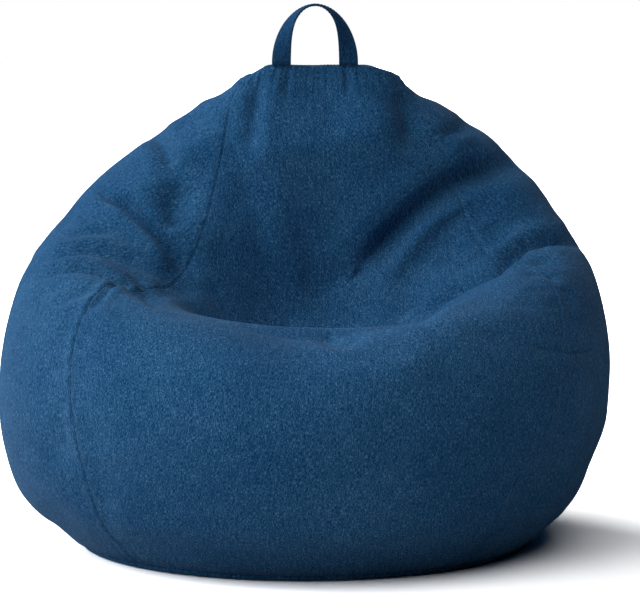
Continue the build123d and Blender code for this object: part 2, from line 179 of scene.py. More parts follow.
table_azimuth = np.radians(np.arange(0, 360, TABLE_STEP))
ring_lines = np.stack(
    [
        np.stack((ring_reach(ring, table_azimuth), ring_height(ring, table_azimuth)), axis=1)
        for ring in RINGS
    ],
    axis=1,
)
crown_y = CROWN_AXIS_Y - ring_lines[:, -1, 0] * np.cos(table_azimuth)
ring_lines[:, -1, 1] = CROWN_HEIGHT - (crown_y - CROWN_FRONT) * math.tan(CROWN_TILT)
curves = [curve_through(line, TABLE_ROWS) for line in ring_lines]
line_length = np.array([length for _, length in curves])
profile = np.stack([points for points, _ in curves])
form_table = np.stack(
    (
        CROWN_LEAN + profile[..., 0] * np.sin(table_azimuth)[:, None],
        CROWN_AXIS_Y - profile[..., 0] * np.cos(table_azimuth)[:, None],
        profile[..., 1],
    ),
    axis=-1,
)
print("profile length, front", round(line_length[0], 3), "m, back", round(line_length[BACK_COLUMN], 3), "m")

# %% [markdown]
# The table also gives the direction that faces outwards at each point. It is worked out once for the
# whole bag, so that two panels which meet at a seam are always pushed the same way there and never
# part.

# %% Outward directions


def outward_directions(table):
    """Unit normals of a table of points that closes on itself in azimuth."""
    round_bag = np.roll(table, -1, axis=0) - np.roll(table, 1, axis=0)
    up_bag = np.gradient(table, axis=1)
    normal = np.cross(round_bag, up_bag)
    return normal / np.linalg.norm(normal, axis=-1, keepdims=True)


def look_up(table, azimuth, share):
    """Values of a table at azimuths in degrees and shares of the way up."""
    column = np.mod(azimuth, 360) / TABLE_STEP
    row = np.clip(share, 0, 1) * (TABLE_ROWS - 1)
    c0, r0 = np.floor(column).astype(int), np.minimum(np.floor(row).astype(int), TABLE_ROWS - 2)
    c, r = (column - c0)[..., None], (row - r0)[..., None]
    c0, c1 = c0 % len(table), (c0 + 1) % len(table)
    low = table[c0, r0] * (1 - c) + table[c1, r0] * c
    high = table[c0, r0 + 1] * (1 - c) + table[c1, r0 + 1] * c
    return low * (1 - r) + high * r


normal_table = outward_directions(form_table)
print("normals face out:", bool((normal_table[0, 100] @ np.array((0, -1, 0))) > 0))

# %% [markdown]
# ## Seams
# Four seams part the gores. On the real bag they wander a little as the fill pushes the cloth: the
# front pair sits closer together at the belly than beside the backrest. Each seam is an azimuth that
# changes on the way up.

# %% Seam lines
# share of the way up, azimuth
SEAMS = {
    "front_right": (
        (0.0, 25.0), (0.14, 27.5), (0.20, 32.0), (0.30, 36.0), (0.40, 40.5), (0.45, 43.0), (0.58, 46.0),
        (0.70, 50.0), (0.78, 53.0), (0.83, 53.5), (0.90, 49.0), (0.94, 50.5), (1.0, 53.5),
    ),
    "back_right": ((0.0, 110.0), (1.0, 112.0)),
    "back_left": ((0.0, 250.0), (1.0, 248.0)),
    "front_left": (
        (0.0, 329.5), (0.13, 329.0), (0.19, 328.0), (0.24, 326.5), (0.36, 323.5), (0.45, 321.5),
        (0.52, 320.5), (0.60, 321.0), (0.70, 319.0), (0.80, 316.0), (0.86, 315.0), (0.93, 310.5),
        (0.96, 310.0), (1.0, 314.0),
    ),
}
SEAM_POINTS, SEAM_SMOOTHING = 201, 25


def seam_azimuth(seam, share):
    """Azimuths of a seam at shares of the way up, in degrees."""
    stops = np.array(SEAMS[seam])
    fine = np.linspace(0, 1, SEAM_POINTS)
    line = np.interp(fine, stops[:, 0], stops[:, 1])
    for _ in range(SEAM_SMOOTHING):
        line[1:-1] = (line[:-2] + 2 * line[1:-1] + line[2:]) / 4
    return np.interp(share, fine, line)


def axis_reach(azimuth, share):
    """Level distance of the form's points from the crown axis."""
    places = look_up(form_table, azimuth, share)
    return np.linalg.norm(places[..., :2] - (CROWN_LEAN, CROWN_AXIS_Y), axis=-1)


def seam_distance(azimuth, share):
    """Distance in metres along the cloth to the nearest seam, positive on the side away from the seat."""
    reach = axis_reach(azimuth, share)
    nearest = np.full(np.shape(azimuth), 9.0)
    for seam in SEAMS:
        turn = np.mod(azimuth - seam_azimuth(seam, share) + 180, 360) - 180
        signed = np.radians(turn) * reach * (1 if "right" in seam else -1)
        nearest = np.where(np.abs(signed) < np.abs(nearest), signed, nearest)
    return nearest


print("seams at half height", {seam: round(float(seam_azimuth(seam, 0.5)), 1) for seam in SEAMS})

# %% [markdown]
# ## How it settled
# The CAD form is even all round. The bag in the photograph has settled: its crown hangs at the
# corners, because only the middle of the front edge is held up by the handle, its foot has slumped to
# one side, and its base seam has rolled under to the floor, except at the back, where the zip keeps
# it up. The table is moved to match before anything else is sculpted.

# %% Let the form settle
LEFT_CORNER_DROP, RIGHT_CORNER_DROP, CROWN_RISE = 0.013, 0.009, 0.0022
SLUMP_SHRINK, SLUMP_SHIFT, SHOULDER_SHIFT = 0.018, 0.005, 0.004
ROLL_SHRINK, ROLL_DROP = 0.012, 0.0125


def ramp(value, start, end):
    """Rises smoothly from 0 at start to 1 at end."""
    share = np.clip((value - start) / (end - start), 0, 1)
    return share * share * (3 - 2 * share)


table_share = np.linspace(0, 1, TABLE_ROWS)[None, :]
edge_x = form_table[:, -1, 0][:, None]
corner = LEFT_CORNER_DROP * ramp(-edge_x, 0.046, 0.085) + RIGHT_CORNER_DROP * ramp(edge_x, 0.084, 0.125)
form_table[..., 2] += (CROWN_RISE - corner) * ramp(table_share, 0.90, 1.0)

slump = ramp(table_share, 0.03, 0.10) * (1 - ramp(table_share, 0.16, 0.26))
form_table[..., 0] *= 1 - SLUMP_SHRINK * slump
form_table[..., 0] -= SLUMP_SHIFT * slump
form_table[..., 0] += SHOULDER_SHIFT * ramp(table_share, 0.66, 0.78) * (1 - ramp(table_share, 0.88, 0.96))

beyond_zip = ramp(np.abs(np.degrees(table_azimuth) - 180), 69, 100)
rolled = beyond_zip[:, None] * (1 - ramp(table_share, 0.0, 0.055))
form_table[..., :2] *= 1 - ROLL_SHRINK * rolled[..., None]
form_table[..., 2] -= ROLL_DROP * rolled
normal_table = outward_directions(form_table)
print("crown corners hang", round(float(corner.max()) * 1000), "mm, base seam down to",
      round(float(form_table[:, 0, 2].min()) * 1000, 1), "mm")

# %% [markdown]
# ## Pushing the cloth
# The folds are made as a sculptor makes them, by pushing points in and out along the outward
# direction. The folds that the photograph shows are strokes on the picture: a line of pixels, how
# wide it is, how deep it goes, and how far the cloth swells above it and below it. Only cloth that
# faces the camera takes them.

# %% Fold strokes
# points in the picture, width in pixels, depth, swelling above and below in millimetres, the steep bank
STROKES = (
    # left arm: the deep fold beside the backrest, the crease along the arm, and the wrinkles between them
    (((106, 196), (124, 204), (141, 219), (160, 238), (182, 264)), 6.0, 18, 2, 6, "below"),
    (
        ((40, 275), (61, 270), (80, 269), (100, 274), (122, 283), (143, 294), (158, 302)),
        4.6, 13, 4, 5, "below",
    ),
    (((44, 258), (62, 253), (84, 250), (106, 254), (128, 262), (146, 274)), 5.4, 9, 4, 2, "below"),
    (((108, 261), (126, 270), (140, 281), (152, 293)), 3.6, 5, 2, 1, ""),
    (((66, 236), (88, 231), (112, 232)), 4.0, 3, 1, 1, ""),
    (((96, 303), (106, 294), (118, 286), (128, 284)), 3.0, 4, 1, 2, "below"),
    (((54, 306), (74, 296), (96, 288)), 4.0, 3, 1, 1, ""),
    (((82, 312), (100, 304), (120, 300)), 4.0, 2, 1, 1, ""),
    # left shoulder: broad soft valleys
    (((155, 128), (163, 146), (172, 166)), 9.0, 10, 2, 2, ""),
    (((178, 180), (174, 205), (176, 232)), 13.0, 11, 1, 2, ""),
    # right side: the long fold across the backrest, a softer one below it, and the pocket behind the arm
    (
        ((362, 261), (374, 248), (388, 231), (416, 205), (444, 182), (470, 168), (498, 160), (518, 158)),
        11.0, 25, 4, 4, "above",
    ),
    (((396, 292), (408, 270), (425, 248), (447, 226), (470, 210)), 15.0, 7, 1, 2, "above"),
    (((498, 272), (512, 259), (528, 247), (548, 240), (565, 240), (576, 243)), 6.0, 17, 4, 4, "below"),
    (((420, 320), (446, 304), (473, 289), (502, 272), (520, 260)), 5.0, 8, 1, 5, "below"),
    (((440, 138), (452, 132), (464, 127)), 6.0, 4, 1, 2, ""),
    (((534, 268), (547, 264), (560, 267)), 3.0, 3, 1, 1, ""),
    (((528, 279), (544, 276), (556, 281)), 3.0, 3, 1, 1, ""),
    (((530, 345), (548, 350), (566, 353), (592, 348)), 2.6, 3, 1, 1, "below"),
    # backrest: soft pleats that hang from the crown seam
    (((260, 74), (257, 92), (255, 112), (253, 134), (252, 156)), 8.0, 8, 2, 2, ""),
    (((287, 70), (287, 82), (286, 96)), 4.0, 3, 1, 1, ""),
    (((346, 68), (347, 80), (347, 94)), 4.0, 3, 1, 1, ""),
    (((398, 92), (404, 108), (408, 126), (410, 146)), 11.0, 10, 2, 3, ""),
    # front lip: the dimple right of its middle
    (((322, 330), (334, 336), (346, 338), (360, 335)), 6.0, 6, 1, 2, ""),
)
# points in the picture, height in millimetres, reach above and below in pixels: blunt ridges
RIDGES = (
    # where the backrest breaks: above it the cloth leans back to the crown, below it falls into the seat
    (((240, 168), (268, 160), (300, 154), (340, 149), (372, 137), (398, 116)), 24, 46, 70),
    # the lip of the seat, and the edge of the right arm
    (((190, 372), (262, 368), (320, 374), (395, 372), (450, 356)), 8, 20, 34),
    (((432, 336), (480, 308), (520, 284), (548, 268)), 6, 14, 22),
)
# place in the picture, radius in pixels, push in millimetres: broad swellings and hollows
DENTS = (
    ((315, 84), 45, -6),
    ((287, 128), 32, 3),
    ((372, 114), 30, 5),
    ((419, 105), 20, -9),
    ((512, 198), 24, 8),
    ((452, 152), 14, 3),
    ((180, 190), 24, -8),
    ((180, 270), 20, -8),
    ((308, 300), 74, -24),
    ((392, 262), 30, -8),
    ((236, 118), 16, -4),
    ((330, 182), 45, -3),
    ((300, 470), 90, 4),
    ((205, 150), 22, 4),
)
print(len(STROKES), "strokes,", len(RIDGES), "ridges and", len(DENTS), "dents")

# %% [markdown]
# What a stroke does to a point depends on how far the point lies from it in the picture, on which side
# and how far along. Across the stroke the push is a bell curve, steeper on one bank if the fold hangs
# over, and it fades at both ends. The strokes are laid on the table once, so that all panels share
# them.

# %% Lay the strokes on the table


def line_distance(seen, points):
    """Distance in pixels from a stroke, the same signed (positive above it), and the way along it."""
    points = np.array(points, dtype=float)
    lengths = np.linalg.norm(np.diff(points, axis=0), axis=1)
    ends = np.concatenate(([0], np.cumsum(lengths))) / lengths.sum()
    nearest, side, along = np.full(len(seen), 1e9), np.zeros(len(seen)), np.zeros(len(seen))
    for start, end, length, first, last in zip(points, points[1:], lengths, ends, ends[1:]):
        direction = (end - start) / length
        offset = seen - start
        run = np.clip(offset @ direction, 0, length)
        gap = offset - run[:, None] * direction
        distance = np.hypot(gap[:, 0], gap[:, 1])
        closer = distance < nearest
        nearest = np.where(closer, distance, nearest)
        signed = np.sign(direction[1] * gap[:, 0] - direction[0] * gap[:, 1]) * distance
        side = np.where(closer, signed, side)
        along = np.where(closer, first + (last - first) * run / length, along)
    return nearest, side, along


def end_fade(along, start, end):
    """Fades a stroke out towards both of its ends."""
    return ramp(along, start, end) * ramp(1 - along, start, end)


STROKE_FADE, STROKE_REACH = (-0.12, 0.22), 5
SWELL_PLACE, SWELL_WIDTH = 2.0, 1.3
STEEP_BANKS = {"above": (0.6, 1.7), "below": (1.7, 0.6), "": (1.0, 1.0)}


def stroke_push(seen, points, width, depth, above, below, steep):
    """Push of one stroke at places in the picture."""
    nearest, side, along = line_distance(seen, points)
    upper, lower = STEEP_BANKS[steep]
    valley = -depth * np.exp(-((nearest / (width * np.where(side > 0, upper, lower))) ** 2))
    swell = above * np.exp(-(((side - SWELL_PLACE * width) / (SWELL_WIDTH * width)) ** 2))
    swell += below * np.exp(-(((side + SWELL_PLACE * width) / (SWELL_WIDTH * width)) ** 2))
    return (valley + swell) * end_fade(along, *STROKE_FADE) / 1000


RIDGE_BLUNTNESS, RIDGE_POWER = 4, 1.25


def ridge_push(seen, points, height, above, below):
    """Push of one blunt ridge at places in the picture."""
    nearest, side, along = line_distance(seen, points)
    blunt = np.sqrt(nearest**2 + RIDGE_BLUNTNESS**2) - RIDGE_BLUNTNESS
    slope = np.exp(-((blunt / np.where(side > 0, above, below)) ** RIDGE_POWER))
    return height / 1000 * slope * end_fade(along, *STROKE_FADE)


FACING_AWAY, FACING_CAMERA = -0.15, 0.20


def fold_push(places, normals):
    """Push of all strokes, ridges and dents on points of the cloth that face the camera."""
    looking = places - camera_place
    looking /= np.linalg.norm(looking, axis=-1, keepdims=True)
    facing = ramp(-(looking * normals).sum(axis=-1), FACING_AWAY, FACING_CAMERA)
    seen = picture_place(places)
    total = np.zeros(len(places))
    for stroke in STROKES:
        margin = STROKE_REACH * stroke[1]
        near = (seen > np.min(stroke[0], axis=0) - margin) & (seen < np.max(stroke[0], axis=0) + margin)
        near = near.all(axis=1) & (facing > 0)
        total[near] += stroke_push(seen[near], *stroke)
    for ridge in RIDGES:
        total += ridge_push(seen, *ridge)
    for centre, radius, height in DENTS:
        total = total + height / 1000 * np.exp(-(((seen - centre) ** 2).sum(axis=-1) / radius**2))
    return total * facing


push_table = fold_push(form_table.reshape(-1, 3), normal_table.reshape(-1, 3)).reshape(form_table.shape[:2])
print("strokes push from", round(push_table.min() * 1000, 1), "to", round(push_table.max() * 1000, 1), "mm")

# %% [markdown]
# The photograph doesn't show the sides and the back. They get the folds that such a bag has there:
# long soft ones that hang from the crown, sagging ones where the back bends, and short ones where the
# foot is squeezed. These strokes are drawn on the bag itself, as azimuths and shares of the way up,
# with their width in millimetres.

# %% Folds out of the camera's sight
# azimuths and shares along the stroke, width, depth, and swelling on both banks, in millimetres
UNSEEN_FOLDS = (
    (((150, 0.97), (146, 0.88), (140, 0.78)), 16, 9, 3),
    (((171, 0.97), (173, 0.90), (172, 0.82)), 12, 6, 2),
    (((196, 0.97), (199, 0.86), (204, 0.74), (206, 0.66)), 17, 10, 4),
    (((226, 0.96), (222, 0.87), (219, 0.79)), 14, 8, 3),
    (((118, 0.95), (121, 0.84), (127, 0.74)), 15, 9, 3),
    (((252, 0.93), (246, 0.82), (243, 0.74)), 14, 8, 3),
    (((131, 0.66), (150, 0.60), (170, 0.59), (190, 0.62)), 20, 9, 4),
    (((176, 0.52), (196, 0.49), (216, 0.52), (232, 0.58)), 22, 9, 4),
    (((228, 0.71), (243, 0.66), (256, 0.66)), 15, 8, 3),
    (((94, 0.74), (104, 0.66), (116, 0.63)), 15, 9, 3),
    (((78, 0.62), (88, 0.60), (101, 0.62)), 13, 7, 3),
    (((256, 0.71), (265, 0.64), (276, 0.62)), 14, 8, 3),
    (((262, 0.50), (276, 0.48), (291, 0.50)), 15, 6, 3),
    (((72, 0.48), (84, 0.46), (98, 0.49)), 15, 6, 3),
    (((108, 0.30), (122, 0.27), (138, 0.29)), 20, 6, 3),
    (((206, 0.33), (222, 0.29), (240, 0.31)), 20, 6, 3),
    (((96, 0.12), (103, 0.16), (110, 0.23)), 12, 5, 2),
    (((146, 0.13), (149, 0.18), (150, 0.24)), 12, 4, 2),
    (((180, 0.12), (179, 0.18), (182, 0.23)), 12, 4, 2),
    (((213, 0.12), (210, 0.17), (210, 0.24)), 12, 4, 2),
    (((254, 0.10), (251, 0.16), (247, 0.22)), 12, 5, 2),
    (((286, 0.08), (283, 0.13), (279, 0.20)), 11, 4, 2),
    (((66, 0.08), (69, 0.13), (74, 0.20)), 11, 4, 2),
)
UNSEEN_FADE, BANK_PLACE, BANK_WIDTH = (-0.1, 0.3), 1.7, 0.8
STROKE_PIECES, STROKE_SMOOTHING, COARSENESS = 12, 12, 4


def unseen_push(places):
    """Push of the folds out of sight on points of the cloth."""
    total = np.zeros(places.shape[:-1])
    for stroke, width, depth, swell in UNSEEN_FOLDS:
        stops = np.array(stroke, dtype=float)
        fine = np.linspace(0, len(stops) - 1, STROKE_PIECES * (len(stops) - 1) + 1)
        turn = np.interp(fine, np.arange(len(stops)), stops[:, 0])
        climb = np.interp(fine, np.arange(len(stops)), stops[:, 1])
        for _ in range(STROKE_SMOOTHING):
            climb[1:-1] = (climb[:-2] + climb[2:]) / 2
            turn[1:-1] = (turn[:-2] + turn[2:]) / 2
        line = look_up(form_table, turn, climb)
        nearest, along = np.full(total.shape, 9.0), np.zeros(total.shape)
        for number, point in enumerate(line):
            distance = np.linalg.norm(places - point, axis=-1)
            closer = distance < nearest
            nearest = np.where(closer, distance, nearest)
            along = np.where(closer, number / (len(line) - 1), along)
        share = nearest / (width / 1000)
        bank = swell * np.exp(-(((share - BANK_PLACE) / BANK_WIDTH) ** 2))
        total += (bank - depth * np.exp(-(share**2))) * end_fade(along, *UNSEEN_FADE) / 1000
    return total


def spread_over(values, rows, columns):
    """Values of a coarse grid, spread evenly over a finer one."""
    down = np.linspace(0, values.shape[0] - 1, rows)[:, None]
    along = np.linspace(0, values.shape[1] - 1, columns)[None, :]
    r = np.minimum(down.astype(int), values.shape[0] - 2)
    c = np.minimum(along.astype(int), values.shape[1] - 2)
    down, along = down - r, along - c
    near = values[r, c] * (1 - along) + values[r, c + 1] * along
    far = values[r + 1, c] * (1 - along) + values[r + 1, c + 1] * along
    return near * (1 - down) + far * down


coarse = unseen_push(form_table[::COARSENESS, ::COARSENESS])
push_table += spread_over(np.concatenate((coarse, coarse[:1])), len(form_table) + 1, TABLE_ROWS)[:-1]
print("all folds push from", round(push_table.min() * 1000, 1), "to", round(push_table.max() * 1000, 1), "mm")

# %% [markdown]
# Then come the pushes that follow the sewing: each seam pulls the cloth in, a felled edge stands
# beside it, and the cloth puckers a little along the thread. The gathers are a sum of waves whose
# lengths don't fit one another, so they never look regular.

# %% Sewn edges
# size, waves to two metres, and shift
PUCKER_WAVES = (0.5, 61.0, 0.3), (0.3, 97.0, 1.7), (0.35, 38.0, 4.1), (0.25, 151.0, 2.6)
SEAM_GROOVE, SEAM_HOLLOW, FELL_HEIGHT, SEAM_PUCKER = 0.0005, 0.0004, 0.0006, 0.0013
CROWN_GROOVE, BASE_GROOVE, CROWN_PUCKER, BASE_PUCKER = 0.0012, 0.0020, 0.0018, 0.0016
GROOVE_WIDTH, HOLLOW_WIDTH, CROWN_GROOVE_WIDTH, BASE_GROOVE_WIDTH = 0.0020, 0.010, 0.005, 0.006
FELL_RISE, FELL_FALL = (0.0008, 0.0030), (0.0085, 0.0115)
SEAM_PUCKER_REACH, SEAM_PUCKER_START = 0.022, (0.001, 0.008)
RIM_PUCKER_REACH, RIM_PUCKER_START = 0.03, (0.002, 0.012)
PANEL_HEIGHT, SEAM_LENGTH = 1.1, 1.2
# degrees of the crown's and the base's edge that hold as many gathers as a metre of an upright seam
CROWN_TURN, BASE_TURN = 130, 60


def pucker(along, seed):
    """Uneven gathers along a seam."""
    return sum(
        size * np.sin(rate * 2 * math.pi * along / 2 + shift * seed) for size, rate, shift in PUCKER_WAVES
    )


def push(azimuth, share):
    """How far the cloth stands out from the plain form, in metres."""
    fold = look_up(push_table[..., None], azimuth, share)[..., 0]
    signed = seam_distance(azimuth, share)
    seam = np.abs(signed)
    sewn = -SEAM_GROOVE * np.exp(-((seam / GROOVE_WIDTH) ** 2))
    sewn = sewn - SEAM_HOLLOW * np.exp(-((seam / HOLLOW_WIDTH) ** 2))
    sewn += FELL_HEIGHT * ramp(signed, *FELL_RISE) * (1 - ramp(signed, *FELL_FALL))
    gathers = SEAM_PUCKER * pucker(share * SEAM_LENGTH, 1.0 + np.floor(azimuth / 90))
    sewn += gathers * np.exp(-seam / SEAM_PUCKER_REACH) * ramp(seam, *SEAM_PUCKER_START)
    to_crown, to_base = (1 - share) * PANEL_HEIGHT, share * PANEL_HEIGHT
    pulled_in = CROWN_GROOVE * np.exp(-((to_crown / CROWN_GROOVE_WIDTH) ** 2))
    sewn += -pulled_in - BASE_GROOVE * np.exp(-((to_base / BASE_GROOVE_WIDTH) ** 2))
    gathers = CROWN_PUCKER * pucker(azimuth / CROWN_TURN, 2.0)
    sewn += gathers * np.exp(-to_crown / RIM_PUCKER_REACH) * ramp(to_crown, *RIM_PUCKER_START)
    gathers = BASE_PUCKER * pucker(azimuth / BASE_TURN, 3.0)
    sewn += gathers * np.exp(-to_base / RIM_PUCKER_REACH) * ramp(to_base, *RIM_PUCKER_START)
    return fold + sewn


print("seams lie", SEAM_GROOVE * 1000, "mm deep, and the cloth gathers by about", SEAM_PUCKER * 1000, "mm")

# %% [markdown]
# The liner lies inside the cover and mustn't come through where a fold goes in, so it follows the
# deepest push in the neighbourhood of each of its points.

# %% Places of the cloth
LINER_ROOM = 0.004
# the neighbourhood: degrees to each side, and rows of the table up and down
NEAR_TURN, NEAR_ROWS = 7, 16
lowest_push = push_table.copy()
for turn in range(-NEAR_TURN, NEAR_TURN + 1):
    turned = np.roll(push_table, round(turn / TABLE_STEP), axis=0)
    for climb in range(-NEAR_ROWS, NEAR_ROWS + 1, 2):
        rows = np.clip(np.arange(TABLE_ROWS) + climb, 0, TABLE_ROWS - 1)
        lowest_push = np.minimum(lowest_push, turned[:, rows])
deepest = float((push_table - lowest_push).max())
print("liner stays up to", round(deepest * 1000, 1), "mm below the cover's folds")


def cloth_places(azimuth, share, inset=None):
    """Points of the pushed cloth; with an inset, points so far inside its deepest folds."""
    if inset is None:
        out = push(azimuth, share)
    else:
        out = look_up(lowest_push[..., None], azimuth, share)[..., 0] - LINER_ROOM - inset
    return look_up(form_table, azimuth, share) + look_up(normal_table, azimuth, share) * out[..., None]


# %% [markdown]
# ## Making a piece
# Nearly every piece of cloth starts as a flat grid primitive, whose points are then moved to their
# places. Its UV map is the cloth laid flat, in metres, which keeps the weave at its real size. A
# modifier gives it thickness, and at the end it is told which body carries it.

# %% Tools for one piece
made = {}


def active_only(piece):
    """Selects one piece and makes it active."""
    bpy.ops.object.select_all(action="DESELECT")
    piece.select_set(True)
    bpy.context.view_layer.objects.active = piece


def new_grid(name, rows, columns):
    """A flat grid primitive with so many points each way."""
    bpy.ops.object.select_all(action="DESELECT")
    bpy.ops.mesh.primitive_grid_add(x_subdivisions=columns - 1, y_subdivisions=rows - 1, size=1)
    piece = bpy.context.object
    piece.name = piece.data.name = name
    return piece


def shape_grid(piece, places, flat_places):
    """Moves a grid's points to their places and writes its UV map, both as arrays of rows by columns."""
    mesh = piece.data
    mesh.vertices.foreach_set("co", places.reshape(-1).astype(np.float32))
    corner_points = np.empty(len(mesh.loops), dtype=np.int32)
    mesh.loops.foreach_get("vertex_index", corner_points)
    uv = flat_places.reshape(-1, 2)[corner_points].astype(np.float32)
    mesh.uv_layers.active.data.foreach_set("uv", uv.reshape(-1))
    mesh.update()


def apply_modifier(piece, kind, **settings):
    """Adds a modifier with some settings and applies it."""
    active_only(piece)
    modifier = piece.modifiers.new(kind.title(), kind)
    for setting, value in settings.items():
        setattr(modifier, setting, value)
    bpy.ops.object.modifier_apply(modifier=modifier.name)


def finish_piece(piece, body, slot, *nodes):
    """Smooth shading, the body that carries the piece, its finish, and the nodes that it stands for."""
    active_only(piece)
    bpy.ops.object.shade_smooth()
    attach(piece, body)
    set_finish(piece, slot)
    if nodes:
        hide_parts(*nodes)
    made[piece.name] = piece
    print(piece.name, len(piece.data.polygons), "faces")


def flat_layout(places):
    """UV in metres: the distance along each row from its middle, and the distance up the middle column."""
    along = np.linalg.norm(np.diff(places, axis=1), axis=-1)
    along = np.concatenate((np.zeros((len(places), 1)), np.cumsum(along, axis=1)), axis=1)
    along -= along[:, places.shape[1] // 2][:, None]
    up = np.linalg.norm(np.diff(places[:, places.shape[1] // 2], axis=0), axis=-1)
    up = np.concatenate(([0], np.cumsum(up)))
    return np.stack((along, up[:, None] + np.zeros_like(along)), axis=-1)


# %% [markdown]
# ## Gores
# A gore is the cloth between two seams. Its columns stand closer together beside the seams, where the
# cloth bends most. The back gore has a window for the zip, so a row and two columns of its grid are
# moved onto the window's edges before the faces inside are deleted.

# %% Gore grids and zip windows
GORES = {
    "front": ("front_left", "front_right"),
    "right": ("front_right", "back_right"),
    "back": ("back_right", "back_left"),
    "left": ("back_left", "front_left"),
}
EVEN_SHARE = 0.28
ZIP_OPENING = 0.024
COVER_ZIP_RADIUS, COVER_ZIP_HALF_ANGLE = BASE_SEAM_RADIUS, 34.0
LINER_ZIP_INSET = 0.022
LINER_ZIP_RADIUS, LINER_ZIP_HALF_ANGLE = BASE_SEAM_RADIUS - LINER_ZIP_INSET, 26.0


def zip_end_azimuths(half_angle, radius):
    """Azimuths about the crown axis of a zip's two ends, which are equal angles about the base's centre."""
    turn = np.radians((half_angle, -half_angle))
    x, y = radius * np.sin(turn), radius * np.cos(turn)
    return np.mod(np.degrees(np.arctan2(x - CROWN_LEAN, CROWN_AXIS_Y - y)), 360)


def gore_grid(side, rows, columns, zip_ends=None):
    """Azimuths and shares of a gore's points; a row and two columns fall on the edges of its zip window."""
    first, last = GORES[side]
    share = np.linspace(0, 1, rows)
    across = np.linspace(-1, 1, columns)
    across = (EVEN_SHARE * across + (1 - EVEN_SHARE) * (1.5 * across - 0.5 * across**3) + 1) / 2
    if zip_ends is not None:
        start, end = seam_azimuth(first, 0), seam_azimuth(last, 0)
        for zip_end in zip_ends:
            wanted = (zip_end - start) / (end - start)
            across[np.argmin(np.abs(across - wanted))] = wanted
        window_top = ZIP_OPENING / line_length[BACK_COLUMN]
        share[np.argmin(np.abs(share - window_top))] = window_top
    share = share[:, None]
    start, end = seam_azimuth(first, share), seam_azimuth(last, share)
    end = end + 360 * (end < start)
    return start + (end - start) * across[None, :], share + np.zeros((1, columns))


def cut_zip_window(piece, azimuth, share, zip_ends):
    """Deletes a gore's faces inside its zip window."""
    inside = (share < ZIP_OPENING / line_length[BACK_COLUMN] + 1e-6).all(axis=1)
    rows_inside = int(inside.sum()) - 1
    low, high = min(zip_ends), max(zip_ends)
    columns_inside = (azimuth[0, :-1] > low - 0.01) & (azimuth[0, 1:] < high + 0.01)
    width = azimuth.shape[1] - 1
    active_only(piece)
    bpy.ops.object.mode_set(mode="EDIT")
    bpy.ops.mesh.select_all(action="DESELECT")
    bpy.ops.object.mode_set(mode="OBJECT")
    for row in range(rows_inside):
        for column in np.nonzero(columns_inside)[0]:
            piece.data.polygons[row * width + int(column)].select = True
    bpy.ops.object.mode_set(mode="EDIT")
    bpy.context.tool_settings.mesh_select_mode = (False, False, True)
    bpy.ops.mesh.delete(type="FACE")
    bpy.ops.object.mode_set(mode="OBJECT")
    bpy.context.tool_settings.mesh_select_mode = (True, False, False)


def make_gore(name, azimuth, share, places, zip_ends, thickness, slot, node):
    """One gore from its points: a grid, with its zip window cut out, that gets the cloth's thickness."""
    piece = new_grid(name, *share.shape)
    shape_grid(piece, places, flat_layout(places))
    if zip_ends is not None:
        cut_zip_window(piece, azimuth, share, zip_ends)
    apply_modifier(piece, "SOLIDIFY", thickness=thickness, offset=-1.0)
    finish_piece(piece, "bag", slot, node)


cover_zip_ends = zip_end_azimuths(COVER_ZIP_HALF_ANGLE, COVER_ZIP_RADIUS)
liner_zip_ends = zip_end_azimuths(LINER_ZIP_HALF_ANGLE, LINER_ZIP_RADIUS)
print("zip windows end at", cover_zip_ends.round(1), "and", liner_zip_ends.round(1), "degrees")

# %% [markdown]
# Cloth that was only pushed looks carved, so each gore is also left to settle: a coarse copy of it
# becomes real cloth for twenty frames, a little too large for its place, held along its sewn border
# and pressed outwards by the beads. It buckles into small wrinkles. The broad swelling is taken off
# again, because the bag has to keep its size, and the wrinkles that are left, up to a few
# millimetres, are laid over the gore's own points.

# %% Let the cloth settle
SETTLE_ROWS, SETTLE_COLUMNS, SETTLE_FRAMES = 141, 57, 20
WRINKLE_CAP, SWELLING_PASSES, WRINKLE_PASSES = 0.005, 150, 2
END_FREE, SEAM_FREE = (0.04, 0.10), (0.006, 0.03)
CLOTH_SETTINGS = {
    "quality": 6,
    "mass": 0.05,
    "air_damping": 4.0,
    "tension_stiffness": 25.0,
    "compression_stiffness": 25.0,
    "shear_stiffness": 12.0,
    "bending_stiffness": 2.0,
    "tension_damping": 20.0,
    "compression_damping": 20.0,
    "shrink_min": -0.03,
    "shrink_max": -0.03,
    "use_pressure": True,
    "uniform_pressure_force": 1.0,
    "vertex_group_mass": "sewn border",
}


def run_cloth(sheet):
    """Simulates a sheet as cloth and applies the result."""
    modifier = sheet.modifiers.new("Cloth", "CLOTH")
    for setting, value in CLOTH_SETTINGS.items():
        setattr(modifier.settings, setting, value)
    modifier.settings.effector_weights.gravity = 0.0
    modifier.collision_settings.use_collision = False
    for frame_number in range(1, SETTLE_FRAMES + 1):
        bpy.context.scene.frame_set(frame_number)
    active_only(sheet)
    bpy.ops.object.modifier_apply(modifier=modifier.name)
    bpy.context.scene.frame_set(1)


